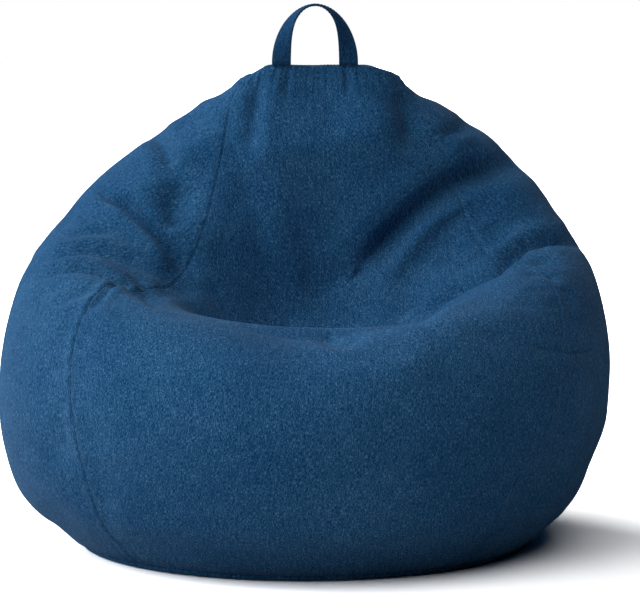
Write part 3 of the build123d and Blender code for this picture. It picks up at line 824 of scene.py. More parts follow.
def settled_push(side):
    """How far a gore's coarse points move outwards when its cloth settles."""
    azimuth, share = gore_grid(side, SETTLE_ROWS, SETTLE_COLUMNS)
    places = cloth_places(azimuth, share)
    sheet = new_grid("settling_sheet", SETTLE_ROWS, SETTLE_COLUMNS)
    shape_grid(sheet, places, flat_layout(places))
    border = np.ones((SETTLE_ROWS, SETTLE_COLUMNS), dtype=bool)
    border[1:-1, 1:-1] = False
    sewn = sheet.vertex_groups.new(name=CLOTH_SETTINGS["vertex_group_mass"])
    sewn.add(np.nonzero(border.reshape(-1))[0].tolist(), 1.0, "REPLACE")
    run_cloth(sheet)
    settled = np.empty(places.size, dtype=np.float32)
    sheet.data.vertices.foreach_get("co", settled)
    bpy.data.objects.remove(sheet)
    return ((settled.reshape(places.shape) - places) * look_up(normal_table, azimuth, share)).sum(axis=-1)


def evened(values, passes):
    """Values of a grid, evened out with their neighbours so many times."""
    for _ in range(passes):
        edged = np.pad(values, 1, mode="edge")
        values = (edged[:-2, 1:-1] + edged[2:, 1:-1] + edged[1:-1, :-2] + edged[1:-1, 2:]) / 4
    return values


def wrinkle_push(side, azimuth, share):
    """Small wrinkles of a gore, which fade towards its sewn border."""
    moved = settled_push(side)
    wrinkles = WRINKLE_CAP * np.tanh((moved - evened(moved, SWELLING_PASSES)) / WRINKLE_CAP)
    to_ends = np.minimum(share, 1 - share) * PANEL_HEIGHT
    free = ramp(to_ends, *END_FREE) * ramp(np.abs(seam_distance(azimuth, share)), *SEAM_FREE)
    laid = spread_over(evened(wrinkles, WRINKLE_PASSES), *share.shape) * free
    print(side, "gore settles", round(laid.min() * 1000, 1), "to", round(laid.max() * 1000, 1), "mm")
    return laid


# %% Gore pieces
CLOTH_THICKNESS = 0.0016
gore_rows, gore_columns = ((341, 137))
for side in GORES:
    ends = cover_zip_ends if side == "back" else None
    azimuth, share = gore_grid(side, gore_rows, gore_columns, ends)
    places = cloth_places(azimuth, share)
    places += look_up(normal_table, azimuth, share) * wrinkle_push(side, azimuth, share)[..., None]
    node = f"cover_{side}_panel"
    make_gore(f"{side}_gore", azimuth, share, places, ends, CLOTH_THICKNESS, "cover_cloth", node)

# %% [markdown]
# ## Crown and base panels
# A squarish panel closes the top of the bag and a round one its bottom. Both are made as a grid that
# is bent round into a fan: the rows become rings, and merging the doubled points closes the middle
# and the joint.

# %% Fans of rings
MERGE_DISTANCE = 0.00002
UP, DOWN = (0, 0, 1), (0, 0, -1)


def close_shell(piece, fill_ends=False):
    """Merges a rolled-up grid's doubled points, fills its open ends if asked, and faces it outwards."""
    active_only(piece)
    bpy.ops.object.mode_set(mode="EDIT")
    bpy.ops.mesh.select_all(action="SELECT")
    bpy.ops.mesh.remove_doubles(threshold=MERGE_DISTANCE)
    if fill_ends:
        bpy.ops.mesh.select_all(action="DESELECT")
        bpy.ops.mesh.select_non_manifold()
        bpy.ops.mesh.edge_face_add()
        bpy.ops.mesh.select_all(action="SELECT")
    bpy.ops.mesh.normals_make_consistent(inside=False)
    bpy.ops.object.mode_set(mode="OBJECT")


def face_towards(piece, direction):
    """Turns an open panel's faces over where they don't look in a direction."""
    if sum(face.normal.dot(direction) * face.area for face in piece.data.polygons) < 0:
        active_only(piece)
        bpy.ops.object.mode_set(mode="EDIT")
        bpy.ops.mesh.select_all(action="SELECT")
        bpy.ops.mesh.flip_normals()
        bpy.ops.object.mode_set(mode="OBJECT")


def make_disc(name, rim, rings, ring_places, outwards, thickness, slot, node, fill):
    """A fan of rings inside a closed rim; ring_places gives the points for each share of the way out."""
    places = np.stack([ring_places(rim, share) for share in np.linspace(0, 1, rings)])
    places = np.concatenate((places, places[:, :1]), axis=1)
    piece = new_grid(name, rings, places.shape[1])
    shape_grid(piece, places, places[..., :2])
    close_shell(piece)
    face_towards(piece, Vector(outwards))
    apply_modifier(piece, "SOLIDIFY", thickness=thickness, offset=-1.0)
    finish_piece(piece, "bag", slot, node)


# %% [markdown]
# The crown hangs a little hollow, with creases towards its corners. The base lies flat on the floor
# and bends up at its rim. Their rims are the very points at which the gores end, so the sewn edges
# meet.

# %% Crown and base
CROWN_HOLLOW, CROWN_CREASE, CORNER_LIFT, CROWN_SWELL = 0.0035, 0.0016, 0.006, 0.003
CROWN_RINGS, BASE_RINGS = 33, 81


def crown_ring(rim, share):
    """Crown cloth: flat behind the handle, a little hollow in the middle, with creases to the corners."""
    centre = rim.mean(axis=0)
    places = centre + (rim - centre) * share
    turn = np.arctan2(rim[:, 0] - centre[0], centre[1] - rim[:, 1])
    hollow = CROWN_HOLLOW * (1 - share**2) * (1 + 0.4 * np.cos(3 * turn + 1.0))
    crease = CROWN_CREASE * share**2 * (1 - share**6) * np.sin(9 * turn + 0.7 * np.sin(2 * turn))
    corners = CORNER_LIFT * share * (1 - share) * np.cos(4 * turn)
    places[:, 2] += crease + corners - hollow + CROWN_SWELL * (1 - share**8)
    return places


FLOOR_RADIUS = 0.304


def base_ring(rim, share):
    """Base cloth: flat on the floor, and bent up at its rim to meet the gores."""
    places = rim * share
    reach = np.hypot(places[:, 0], places[:, 1])
    rim_reach = np.hypot(rim[:, 0], rim[:, 1])
    climb = np.clip((reach - FLOOR_RADIUS) / (rim_reach - FLOOR_RADIUS), 0, 1)
    places[:, 2] = rim[:, 2] * (1 - np.sqrt(1 - climb**2))
    return places


RIM_STEP = 1.5
rim_azimuth = np.arange(0, 360, RIM_STEP)
crown_rim = cloth_places(rim_azimuth, np.ones_like(rim_azimuth))
base_rim = cloth_places(rim_azimuth, np.zeros_like(rim_azimuth))

cover = CLOTH_THICKNESS, "cover_cloth"
make_disc("crown_cloth", crown_rim, CROWN_RINGS, crown_ring, UP, *cover, "cover_crown_panel", 0.5)
make_disc("base_cloth", base_rim, BASE_RINGS, base_ring, DOWN, *cover, "cover_base_panel", 0.6)

# %% [markdown]
# ## Liner and beads
# Inside the cover is a second bag of thin white cloth that holds the beads, so that the cover can be
# washed. Nobody sees it while the zip is shut, but it is cut the same way: four gores, a crown and a
# base, set in from the cover.

# %% Liner panels
LINER_CLOTH, LINER_FLOOR = 0.001, 0.003
LINER_EASE, LINER_ZIP_ROOM = 0.004, 0.014
CROWN_LINER_RINGS, BASE_LINER_RINGS = 17, 25


def liner_inset(share):
    """Room between cover and liner, most at the base, where both bags have their zips."""
    return LINER_EASE + LINER_ZIP_ROOM * (1 - ramp(share, 0.0, 0.07))


liner_rows, liner_columns = ((101, 37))
for side in GORES:
    ends = liner_zip_ends if side == "back" else None
    azimuth, share = gore_grid(side, liner_rows, liner_columns, ends)
    places = cloth_places(azimuth, share, liner_inset(share))
    node = f"liner_{side}_panel"
    make_gore(f"{side}_liner", azimuth, share, places, ends, LINER_CLOTH, "liner_cloth", node)

liner_crown_rim = cloth_places(rim_azimuth, np.ones_like(rim_azimuth), liner_inset(1.0))
liner_base_rim = cloth_places(rim_azimuth, np.zeros_like(rim_azimuth), liner_inset(0.0))


def liner_base_ring(rim, share):
    """Liner base, a little above the cover's."""
    places = base_ring(rim, share)
    places[:, 2] = np.maximum(LINER_FLOOR, rim[:, 2] * ramp(share, 0.9, 1.0))
    return places


liner = LINER_CLOTH, "liner_cloth"
crown_fan, base_fan = (CROWN_LINER_RINGS, crown_ring, UP), (BASE_LINER_RINGS, liner_base_ring, DOWN)
make_disc("crown_liner", liner_crown_rim, *crown_fan, *liner, "liner_crown_panel", 0.5)
make_disc("base_liner", liner_base_rim, *base_fan, *liner, "liner_base_panel", 0.6)

# %% [markdown]
# The beads are some millions of foam balls. They pour like a liquid and always fill the liner, so
# they are one closed heap in its shape, and the finish gives it its balls.

# %% Bead heap
FOOT_RINGS, TOP_RINGS, HEAP_FLOOR, HEAP_ROOM = 9, 7, 0.006, 0.005
fill_rows, fill_columns = ((81, 121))
fill_share = np.concatenate((np.zeros(FOOT_RINGS), np.linspace(0, 1, fill_rows), np.ones(TOP_RINGS)))
azimuth, share = np.meshgrid(np.linspace(0, 360, fill_columns), fill_share)
places = cloth_places(azimuth, share, liner_inset(share) + HEAP_ROOM)
lowest, top = places[FOOT_RINGS], places[FOOT_RINGS + fill_rows - 1]
for row in range(FOOT_RINGS):
    outward = row / FOOT_RINGS
    places[row] = lowest * (outward**0.8, outward**0.8, 0)
    places[row][:, 2] = HEAP_FLOOR + (lowest[:, 2] - HEAP_FLOOR) * ramp(np.array(outward), 0.8, 1.0)
for row in range(TOP_RINGS):
    inward = 1 - (row + 1) / TOP_RINGS
    places[FOOT_RINGS + fill_rows + row] = top.mean(axis=0) + (top - top.mean(axis=0)) * inward
heap = new_grid("bead_heap", len(fill_share), fill_columns)
shape_grid(heap, places, flat_layout(places))
close_shell(heap)
finish_piece(heap, "bag", "bead_fill", "bead_fill")

# %% [markdown]
# ## Stitches
# Each seam is sewn down with two rows of matching thread. One stitch is a small ball drawn out long,
# and it is copied along the seam: every copy lies along the row, half sunk in the cloth.

# %% One stitch, and rows of it
STITCH_PITCH, STITCH_LENGTH, STITCH_WIDTH = 0.0048, 0.0036, 0.0009
HEADING_STEP, TINY = 0.001, 1e-9


def coarse_ball():
    """Points and faces of a ball of few faces, one metre across."""
    bpy.ops.object.select_all(action="DESELECT")
    bpy.ops.mesh.primitive_uv_sphere_add(segments=6, ring_count=4, radius=0.5)
    pattern = bpy.context.object
    points = np.array([tuple(point.co) for point in pattern.data.vertices])
    faces = [tuple(face.vertices) for face in pattern.data.polygons]
    bpy.data.objects.remove(pattern)
    return points, faces


BALL, BALL_FACES = coarse_ball()
print("a stitch has", len(BALL_FACES), "faces")


def copies_of_ball(name, copies):
    """One piece from shaped copies of the ball, each given as its points."""
    faces = [
        tuple(number * len(BALL) + corner for corner in face)
        for number in range(len(copies))
        for face in BALL_FACES
    ]
    mesh = bpy.data.meshes.new(name)
    mesh.from_pydata(np.concatenate(copies).tolist(), [], faces)
    piece = bpy.data.objects.new(name, mesh)
    bpy.context.scene.collection.objects.link(piece)
    return piece


def point_along(run, line, place):
    """Point or direction at a place along a line whose points have a running length."""
    return np.array([np.interp(place, run, line[:, axis]) for axis in range(3)])


def stitch_rows(name, rows):
    """One piece from a stitch copied along rows; a row is its points and the directions that look out."""
    copies = []
    for line, out in rows:
        run = np.concatenate(([0], np.cumsum(np.linalg.norm(np.diff(line, axis=0), axis=1))))
        for middle in np.arange(STITCH_PITCH / 2, run[-1], STITCH_PITCH):
            ahead, behind = middle + HEADING_STEP, middle - HEADING_STEP
            heading = point_along(run, line, ahead) - point_along(run, line, behind)
            forward = heading / max(np.linalg.norm(heading), TINY)
            sideways = np.cross(point_along(run, out, middle), forward)
            sideways /= max(np.linalg.norm(sideways), TINY)
            up = np.cross(forward, sideways)
            shaped = BALL[:, 2:3] * STITCH_LENGTH * forward + BALL[:, 0:1] * STITCH_WIDTH * sideways
            shaped = shaped + BALL[:, 1:2] * STITCH_WIDTH * up
            copies.append(point_along(run, line, middle) + shaped)
    return copies_of_ball(name, copies)


# %% [markdown]
# The rows run on both sides of the four upright seams, round the crown, and round the base as far as
# the zip.

# %% Rows along the seams
STITCH_ASIDE, STITCH_LIFT, SEWN_FROM, SEWN_TO = 0.0042, 0.0001, 0.012, 0.992
CROWN_ROW_SHARE, BASE_ROW_SHARE = 0.955, 0.985
CROWN_UP = 0, 0.16, 0.987


def seam_row(seam, aside):
    """Row of points that runs up beside a seam, a little way aside of it."""
    share = np.linspace(SEWN_FROM, SEWN_TO, 500)
    middle = seam_azimuth(seam, share)
    azimuth = middle + np.degrees(aside / axis_reach(middle, share))
    out = look_up(normal_table, azimuth, share)
    return cloth_places(azimuth, share) + out * STITCH_LIFT, out


for seam in SEAMS:
    piece = stitch_rows(f"{seam}_stitches", [seam_row(seam, -STITCH_ASIDE), seam_row(seam, STITCH_ASIDE)])
    finish_piece(piece, "bag", "seam_thread", f"{seam}_seam_stitch")

rim_fine = np.linspace(0, 360, 1441)
crown_fine = cloth_places(rim_fine, np.ones_like(rim_fine))
crown_row = crown_ring(crown_fine[:-1], CROWN_ROW_SHARE)
crown_row = np.concatenate((crown_row, crown_row[:1]))
piece = stitch_rows("crown_stitches", [(crown_row, np.zeros_like(crown_row) + CROWN_UP)])
finish_piece(piece, "bag", "seam_thread", "crown_seam_stitch")

sewn_turn = np.linspace(max(cover_zip_ends) - 360, min(cover_zip_ends), 1200)
base_row = base_ring(cloth_places(sewn_turn, np.zeros_like(sewn_turn)), BASE_ROW_SHARE)
base_out = base_row * (1, 1, 0) / BASE_SEAM_RADIUS * 0.5 + (0, 0, -0.86)
piece = stitch_rows("base_stitches", [(base_row, base_out)])
finish_piece(piece, "bag", "seam_thread", "base_seam_stitch")

# %% [markdown]
# ## Carry handle
# The handle is a strap of folded cloth whose feet are caught flat in the crown's front seam. Sewn
# like that it twists on its way up, until it stands edge on at the top of its arch. It is a rounded
# section carried along that arch: the section is a ring of points, and a grid is rolled up into the
# tube.

# %% Strap
HANDLE_MIDDLE, HANDLE_SPREAD, HANDLE_RISE = 0.016, 0.095, 0.087
STRAP_WIDTH, STRAP_THICKNESS, STRAP_FOOT_DEPTH, STRAP_WELT = 0.027, 0.0036, 0.0025, 0.80
HANDLE_FORWARD, HANDLE_LIFT = 0.0012, 0.0036
HANDLE_AXIS = np.array((HANDLE_MIDDLE, CROWN_FRONT - HANDLE_FORWARD, CROWN_HEIGHT + HANDLE_LIFT))


def strap_frame(share):
    """Middle of the strap at a share of the way over its arch, its width direction and its outer one."""
    turn = math.pi * share
    across = -math.cos(turn) * HANDLE_SPREAD / 2
    up = math.sin(turn) * (HANDLE_RISE - STRAP_THICKNESS)
    heading = np.array((math.sin(turn) * HANDLE_SPREAD / 2, 0, math.cos(turn) * HANDLE_RISE))
    heading /= np.linalg.norm(heading)
    twist = math.pi / 2 * math.sin(turn)
    in_plane = np.cross(heading, (0, 1, 0))
    wide = in_plane * math.cos(twist) + np.array((0, 1, 0)) * math.sin(twist)
    return HANDLE_AXIS + (across, 0, up), wide, np.cross(heading, wide)


def strap_section(count):
    """Ring of points round the strap's section: flat faces, rounded edges, and a low welt along each."""
    turn = np.linspace(0, 2 * math.pi, count)
    flat = np.sign(np.cos(turn)) * np.abs(np.cos(turn)) ** 0.55
    thick = np.sign(np.sin(turn)) * np.abs(np.sin(turn)) ** 0.45
    welt = 1 - 0.12 * np.exp(-(((np.abs(flat) - STRAP_WELT) / 0.05) ** 2))
    return flat * STRAP_WIDTH / 2, thick * welt * STRAP_THICKNESS / 2


STRAP_SLACK = 0.0012


def strap_slack(share):
    """How far the strap waves out of its arch."""
    return STRAP_SLACK * np.sin(9 * share + 0.4) * np.sin(math.pi * share)


strap_stations, strap_around = 73, 49
section_wide, section_thick = strap_section(strap_around)
places = np.zeros((strap_stations, strap_around, 3))
for station in range(strap_stations):
    share = station / (strap_stations - 1)
    middle, wide, outer = strap_frame(share)
    outside = (section_thick + strap_slack(share))[:, None] * outer
    places[station] = middle + section_wide[:, None] * wide + outside
places[[0, -1], :, 2] -= STRAP_FOOT_DEPTH
strap = new_grid("strap_handle", strap_stations, strap_around)
shape_grid(strap, places, flat_layout(places))
close_shell(strap, fill_ends=True)
finish_piece(strap, "handle", "handle_cloth", "carry_handle")

# %% Strap stitches
THREAD_SINK = 0.86
strap_rows = []
sewn_share = np.linspace(0.07, 0.93, 160)
frames = [strap_frame(share) for share in sewn_share]
for edge in (-STRAP_WELT, STRAP_WELT):
    for face in (-1, 1):
        line = np.array([middle + edge * STRAP_WIDTH / 2 * wide for middle, wide, outer in frames])
        out = np.array([outer * face for middle, wide, outer in frames])
        slack = (out * face) * strap_slack(sewn_share)[:, None]
        line = line + out * (STRAP_THICKNESS / 2 * THREAD_SINK) + slack
        strap_rows.append((line, out))
piece = stitch_rows("handle_stitches", strap_rows)
finish_piece(piece, "handle", "seam_thread")

# %% [markdown]
# The strap's ends lie folded back under the crown panel, behind its front seam.

# %% Strap ends
UNDER_CROWN = 0.0042
END_POINTS, END_NEAR, END_FAR = 9, 0.012, 0.034
END_THICKNESS, END_BEVEL, END_WAVE = 0.003, 0.0006, 0.0004


def under_crown(y):
    """Heights just under the crown panel."""
    return CROWN_HEIGHT - (y - CROWN_FRONT) * math.tan(CROWN_TILT) - UNDER_CROWN


strap_ends = []
for number, side in enumerate((-1, 1)):
    foot = HANDLE_MIDDLE + side * HANDLE_SPREAD / 2
    along = np.linspace(END_NEAR, END_FAR, END_POINTS) + CROWN_FRONT
    x, y = np.meshgrid(np.linspace(-0.5, 0.5, END_POINTS) * STRAP_WIDTH + foot, along)
    places = np.stack((x, y, under_crown(y) + END_WAVE * np.sin(x * 700)), axis=-1)
    piece = new_grid(f"strap_end_{number}", END_POINTS, END_POINTS)
    shape_grid(piece, places, flat_layout(places))
    apply_modifier(piece, "SOLIDIFY", thickness=END_THICKNESS, offset=-1.0)
    apply_modifier(piece, "BEVEL", width=END_BEVEL, segments=2)
    strap_ends.append(piece)
active_only(strap_ends[0])
strap_ends[1].select_set(True)
bpy.ops.object.join()
strap_ends[0].name = strap_ends[0].data.name = "strap_ends"
finish_piece(strap_ends[0], "bag", "handle_cloth", "handle_ends")

# %% [markdown]
# ## Zips
# The cover closes with a zip in the base seam at the back, half under the bag, and the liner with a
# shorter one. A zip is two tapes and two rows of nylon coil; slider, pull and stops are rigid and
# come straight from the CAD. The tapes are grids bent round the base circle. One turn of coil is a
# ball pressed long, copied along the row.

# %% Tapes and coils
COIL_WIDTH, COIL_GAP, COIL_THICKNESS, STOP_LENGTH = 0.0026, 0.0016, 0.0024, 0.005
COIL_PITCH, COIL_LENGTH, COIL_OVERHANG = 0.0016, 0.0014, 1.08
TAPE_RIPPLE, TAPE_SINK, ZIP_CURVE_POINTS = 0.0003, 0.0002, 2001
TAPE_ROWS, TAPE_COLUMNS, TAPE_THICKNESS, TAPE_UNDER_COIL, TAPE_SEWN_IN = 7, 121, 0.0008, 0.0012, 0.0025


def zip_slope(insets):
    """Direction, outwards and up, in which a zip lies: from the seam to the window's edge at the back."""
    skin = ring_lines[BACK_COLUMN]
    line = [(skin[0, 0] - insets[0], BASE_SEAM_HEIGHT)]
    for k, inset in zip(range(1, len(skin) - 1), insets[1:]):
        run, rise = skin[k + 1] - skin[k - 1]
        length = math.hypot(run, rise)
        line.append((skin[k, 0] - inset * rise / length, skin[k, 1] + inset * run / length))
    curve, length = curve_through(np.array(line), ZIP_CURVE_POINTS)
    slope = curve[round(ZIP_OPENING / length * (ZIP_CURVE_POINTS - 1))] - curve[0]
    return slope / np.linalg.norm(slope)


def zip_place(radius, slope, angle, along, out):
    """Point of a zip at an angle about the base's centre, so far up its cloth and so far outside it."""
    reach = radius + slope[0] * along + slope[1] * out
    height = BASE_SEAM_HEIGHT + slope[1] * along - slope[0] * out
    return np.stack((reach * np.sin(angle), reach * np.cos(angle), height + np.zeros_like(reach)), axis=-1)


def make_zip(name, slots, radius, half_angle, slope):
    """Two tapes and two coil rows of a zip."""
    middle, coil_near = ZIP_OPENING / 2, COIL_GAP / 2
    coil_far = coil_near + COIL_WIDTH
    end = math.radians(half_angle)
    coil_end = end - STOP_LENGTH / radius
    for side, word in ((-1, "lower"), (1, "upper")):
        across = np.linspace(coil_far - TAPE_UNDER_COIL, middle + TAPE_SEWN_IN, TAPE_ROWS)
        angle, along = np.meshgrid(np.linspace(-end, end, TAPE_COLUMNS), middle + side * across)
        ripple = TAPE_RIPPLE * np.sin(angle * 90 + side) * ramp(side * (along - middle), coil_far, middle)
        places = zip_place(radius, slope, angle, along, ripple - TAPE_SINK)
        tape = new_grid(f"{name}_tape_{word}", TAPE_ROWS, TAPE_COLUMNS)
        shape_grid(tape, places, flat_layout(places))
        apply_modifier(tape, "SOLIDIFY", thickness=TAPE_THICKNESS, offset=0.0)
        finish_piece(tape, "bag", slots[0], f"{name}_tape_{word}")

        along = middle + side * (coil_near + coil_far) / 2 + BALL[:, 2] * COIL_WIDTH * COIL_OVERHANG
        wide, out = BALL[:, 0] * COIL_LENGTH / radius, BALL[:, 1] * COIL_THICKNESS
        turns = [
            zip_place(radius, slope, turn + wide, along, out)
            for turn in np.arange(-coil_end, coil_end, COIL_PITCH / radius)
        ]
        coil = copies_of_ball(f"{name}_teeth_{word}", turns)
        active_only(coil)
        bpy.ops.object.mode_set(mode="EDIT")
        bpy.ops.mesh.select_all(action="SELECT")
        bpy.ops.mesh.normals_make_consistent(inside=False)
        bpy.ops.object.mode_set(mode="OBJECT")
        finish_piece(coil, "bag", slots[1], f"{name}_coil_{word}")


# how far the liner is set in at each ring, from the base up
LINER_INSETS = LINER_ZIP_INSET, 0.009, 0.003, 0.003, 0.003, 0.003, 0.003, 0.005, 0.009
cover_slope, liner_slope = zip_slope([0.0] * len(RINGS)), zip_slope(LINER_INSETS)
print("zip slopes", cover_slope.round(4), liner_slope.round(4))
cover_slots, liner_slots = ("zip_tape", "zip_coil"), ("liner_zip_tape", "liner_zip_coil")
make_zip("cover_zip", cover_slots, COVER_ZIP_RADIUS, COVER_ZIP_HALF_ANGLE, cover_slope)
make_zip("liner_zip", liner_slots, LINER_ZIP_RADIUS, LINER_ZIP_HALF_ANGLE, liner_slope)

# %% [markdown]
# ## Care label
# A small white satin label is sewn in under the crown. It carries no print.

# %% Care label
LABEL_WIDTH, LABEL_LENGTH, LABEL_THICKNESS, LABEL_CURL = 0.030, 0.040, 0.0005, 0.0012
LABEL_ROWS, LABEL_COLUMNS = 13, 9
label_low, label_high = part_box("care_label")
x, y = np.meshgrid(
    np.linspace(label_low[0], label_high[0], LABEL_COLUMNS),
    np.linspace(label_low[1], label_high[1], LABEL_ROWS),
)
curl = LABEL_CURL * ((y - label_high[1]) / LABEL_LENGTH) ** 2
places = np.stack((x, y, under_crown(y) - curl), axis=-1)
label = new_grid("care_tag", LABEL_ROWS, LABEL_COLUMNS)
shape_grid(label, places, flat_layout(places))
apply_modifier(label, "SOLIDIFY", thickness=LABEL_THICKNESS, offset=0.0)
finish_piece(label, "bag", "label_cloth", "care_label")

# %% [markdown]
# ## Finishes
# Every finish is built from nodes. A few helpers keep the node work short: one adds a node with its
# settings, one joins two values by arithmetic, and one makes noise that is stretched along the yarns.

# %% Helpers for nodes


def new_group(name, inputs, outputs):
    """A shader node group; an input is a name, a kind and a value, an output a name and a kind."""
    group = bpy.data.node_groups.new(name, "ShaderNodeTree")
    for socket_name, kind, value in inputs:
        socket = group.interface.new_socket(socket_name, in_out="INPUT", socket_type=kind)
        if value is not None:
            socket.default_value = value
    for socket_name, kind in outputs:
        group.interface.new_socket(socket_name, in_out="OUTPUT", socket_type=kind)
    return group, group.nodes.new("NodeGroupInput"), group.nodes.new("NodeGroupOutput")


def add_node(tree, kind, **values):
    """A node whose settings and input values are given by name."""
    node = tree.nodes.new(kind)
    for key, value in values.items():
        if key in node.inputs:
            node.inputs[key].default_value = value
        else:
            setattr(node, key, value)
    return node


def combine(tree, operation, first, second):
    """Math node on two sockets or numbers."""
    node = add_node(tree, "ShaderNodeMath", operation=operation)
    for index, value in enumerate((first, second)):
        if isinstance(value, (int, float)):
            node.inputs[index].default_value = value
        else:
            tree.links.new(value, node.inputs[index])
    return node.outputs[0]


def stretched_noise(tree, vector, scale, detail=2.0):
    """Noise on coordinates that are stretched by a scale for each axis."""
    mapping = add_node(tree, "ShaderNodeMapping", Scale=scale)
    tree.links.new(vector, mapping.inputs["Vector"])
    noise = add_node(tree, "ShaderNodeTexNoise", Scale=1.0, Detail=detail, Roughness=0.6)
    tree.links.new(mapping.outputs["Vector"], noise.inputs["Vector"])
    return noise.outputs["Fac"]


# %% [markdown]
# Three effects are shared and made once as groups: the weave of the heathered cloth, uneven dye, and
# fine grain for thread and metal.

# %% Shared effects
WARP_FLECKS, WEFT_FLECKS, SLUBS = (1.0, 0.26, 1.0), (0.40, 1.0, 1.0), (0.35, 0.05, 1.0)
WARP_SHARE, WEFT_SHARE, SLUB_SHARE, YARN_BUMP = 0.52, 0.33, 0.15, 0.35


def make_weave_group():
    """Heathered plain weave: pale and dark fibres along both yarns, and the bumps of the yarns."""
    group, inside, outside = new_group(
        "heathered weave",
        (("Vector", "NodeSocketVector", None), ("Yarns per metre", "NodeSocketFloat", 900.0)),
        (("Fibre", "NodeSocketFloat"), ("Height", "NodeSocketFloat")),
    )
    vector, count = inside.outputs["Vector"], inside.outputs["Yarns per metre"]
    scaled = add_node(group, "ShaderNodeVectorMath", operation="SCALE")
    group.links.new(vector, scaled.inputs[0])
    group.links.new(count, scaled.inputs["Scale"])
    warp = stretched_noise(group, scaled.outputs[0], WARP_FLECKS)
    weft = stretched_noise(group, scaled.outputs[0], WEFT_FLECKS)
    slub = stretched_noise(group, scaled.outputs[0], SLUBS, 1.0)
    crossed = combine(group, "MULTIPLY", weft, WEFT_SHARE)
    mixed = combine(group, "ADD", combine(group, "MULTIPLY", warp, WARP_SHARE), crossed)
    mixed = combine(group, "ADD", mixed, combine(group, "MULTIPLY", slub, SLUB_SHARE))
    group.links.new(mixed, outside.inputs["Fibre"])
    split = add_node(group, "ShaderNodeSeparateXYZ")
    group.links.new(scaled.outputs[0], split.inputs[0])
    over = combine(group, "SINE", combine(group, "MULTIPLY", split.outputs["X"], math.pi), 0.0)
    under = combine(group, "SINE", combine(group, "MULTIPLY", split.outputs["Y"], math.pi), 0.0)
    yarns = combine(group, "MULTIPLY", over, under)
    height = combine(group, "ADD", combine(group, "MULTIPLY", yarns, YARN_BUMP), mixed)
    group.links.new(height, outside.inputs["Height"])
    return group


def make_dye_group():
    """Broad unevenness of dye and handling, around 0.5."""
    group, inside, outside = new_group(
        "uneven dye",
        (("Vector", "NodeSocketVector", None), ("Patches per metre", "NodeSocketFloat", 9.0)),
        (("Tone", "NodeSocketFloat"),),
    )
    noise = add_node(group, "ShaderNodeTexNoise", Detail=3.0, Roughness=0.55)
    group.links.new(inside.outputs["Vector"], noise.inputs["Vector"])
    group.links.new(inside.outputs["Patches per metre"], noise.inputs["Scale"])
    group.links.new(noise.outputs["Fac"], outside.inputs["Tone"])
    return group


def make_grain_group():
    """Fine grain: brushed metal, moulded nylon or the twist of a thread."""
    group, inside, outside = new_group(
        "fine grain",
        (("Vector", "NodeSocketVector", None), ("Grains per metre", "NodeSocketFloat", 1500.0)),
        (("Grain", "NodeSocketFloat"),),
    )
    noise = add_node(group, "ShaderNodeTexNoise", Detail=2.0, Roughness=0.7)
    group.links.new(inside.outputs["Vector"], noise.inputs["Vector"])
    group.links.new(inside.outputs["Grains per metre"], noise.inputs["Scale"])
    group.links.new(noise.outputs["Fac"], outside.inputs["Grain"])
    return group


weave_group, dye_group, grain_group = make_weave_group(), make_dye_group(), make_grain_group()
print("groups", weave_group.name, dye_group.name, grain_group.name)

# %% [markdown]
# The cover is a heathered furnishing cloth: dark navy yarns with paler blue fibres spun in, which
# show as fine upright flecks. The flecks follow the UV map, which is in metres, so that they keep
# their real size on every panel.

# %% Woven finish
DYE_PATCHES, DYE_CONTRAST = 7.0, 0.10
FIBRE_GLOSS, YARN_RELIEF = 0.15, 0.0006
SHEEN_ROUGHNESS, SHEEN_TINT = 0.45, (0.80, 0.88, 1.0, 1)


def new_finish(name):
    """An empty finish with its shader and output."""
    finish = bpy.data.materials.new(name)
    finish.use_nodes = True
    return finish, finish.node_tree, finish.node_tree.nodes["Principled BSDF"]


def place_group(tree, group, vector, **values):
    """A group node on some coordinates."""
    node = tree.nodes.new("ShaderNodeGroup")
    node.node_tree = group
    tree.links.new(vector, node.inputs["Vector"])
    for key, value in values.items():
        node.inputs[key.replace("_", " ")].default_value = value
    return node


def colour_steps(tree, factor, stops):
    """Colour ramp through some stops of place and colour."""
    steps = tree.nodes.new("ShaderNodeValToRGB")
    while len(steps.color_ramp.elements) < len(stops):
        steps.color_ramp.elements.new(0.5)
    for element, (place, colour) in zip(steps.color_ramp.elements, stops):
        element.position = place
        element.color = (*colour, 1)
    tree.links.new(factor, steps.inputs["Fac"])
    return steps.outputs["Color"]


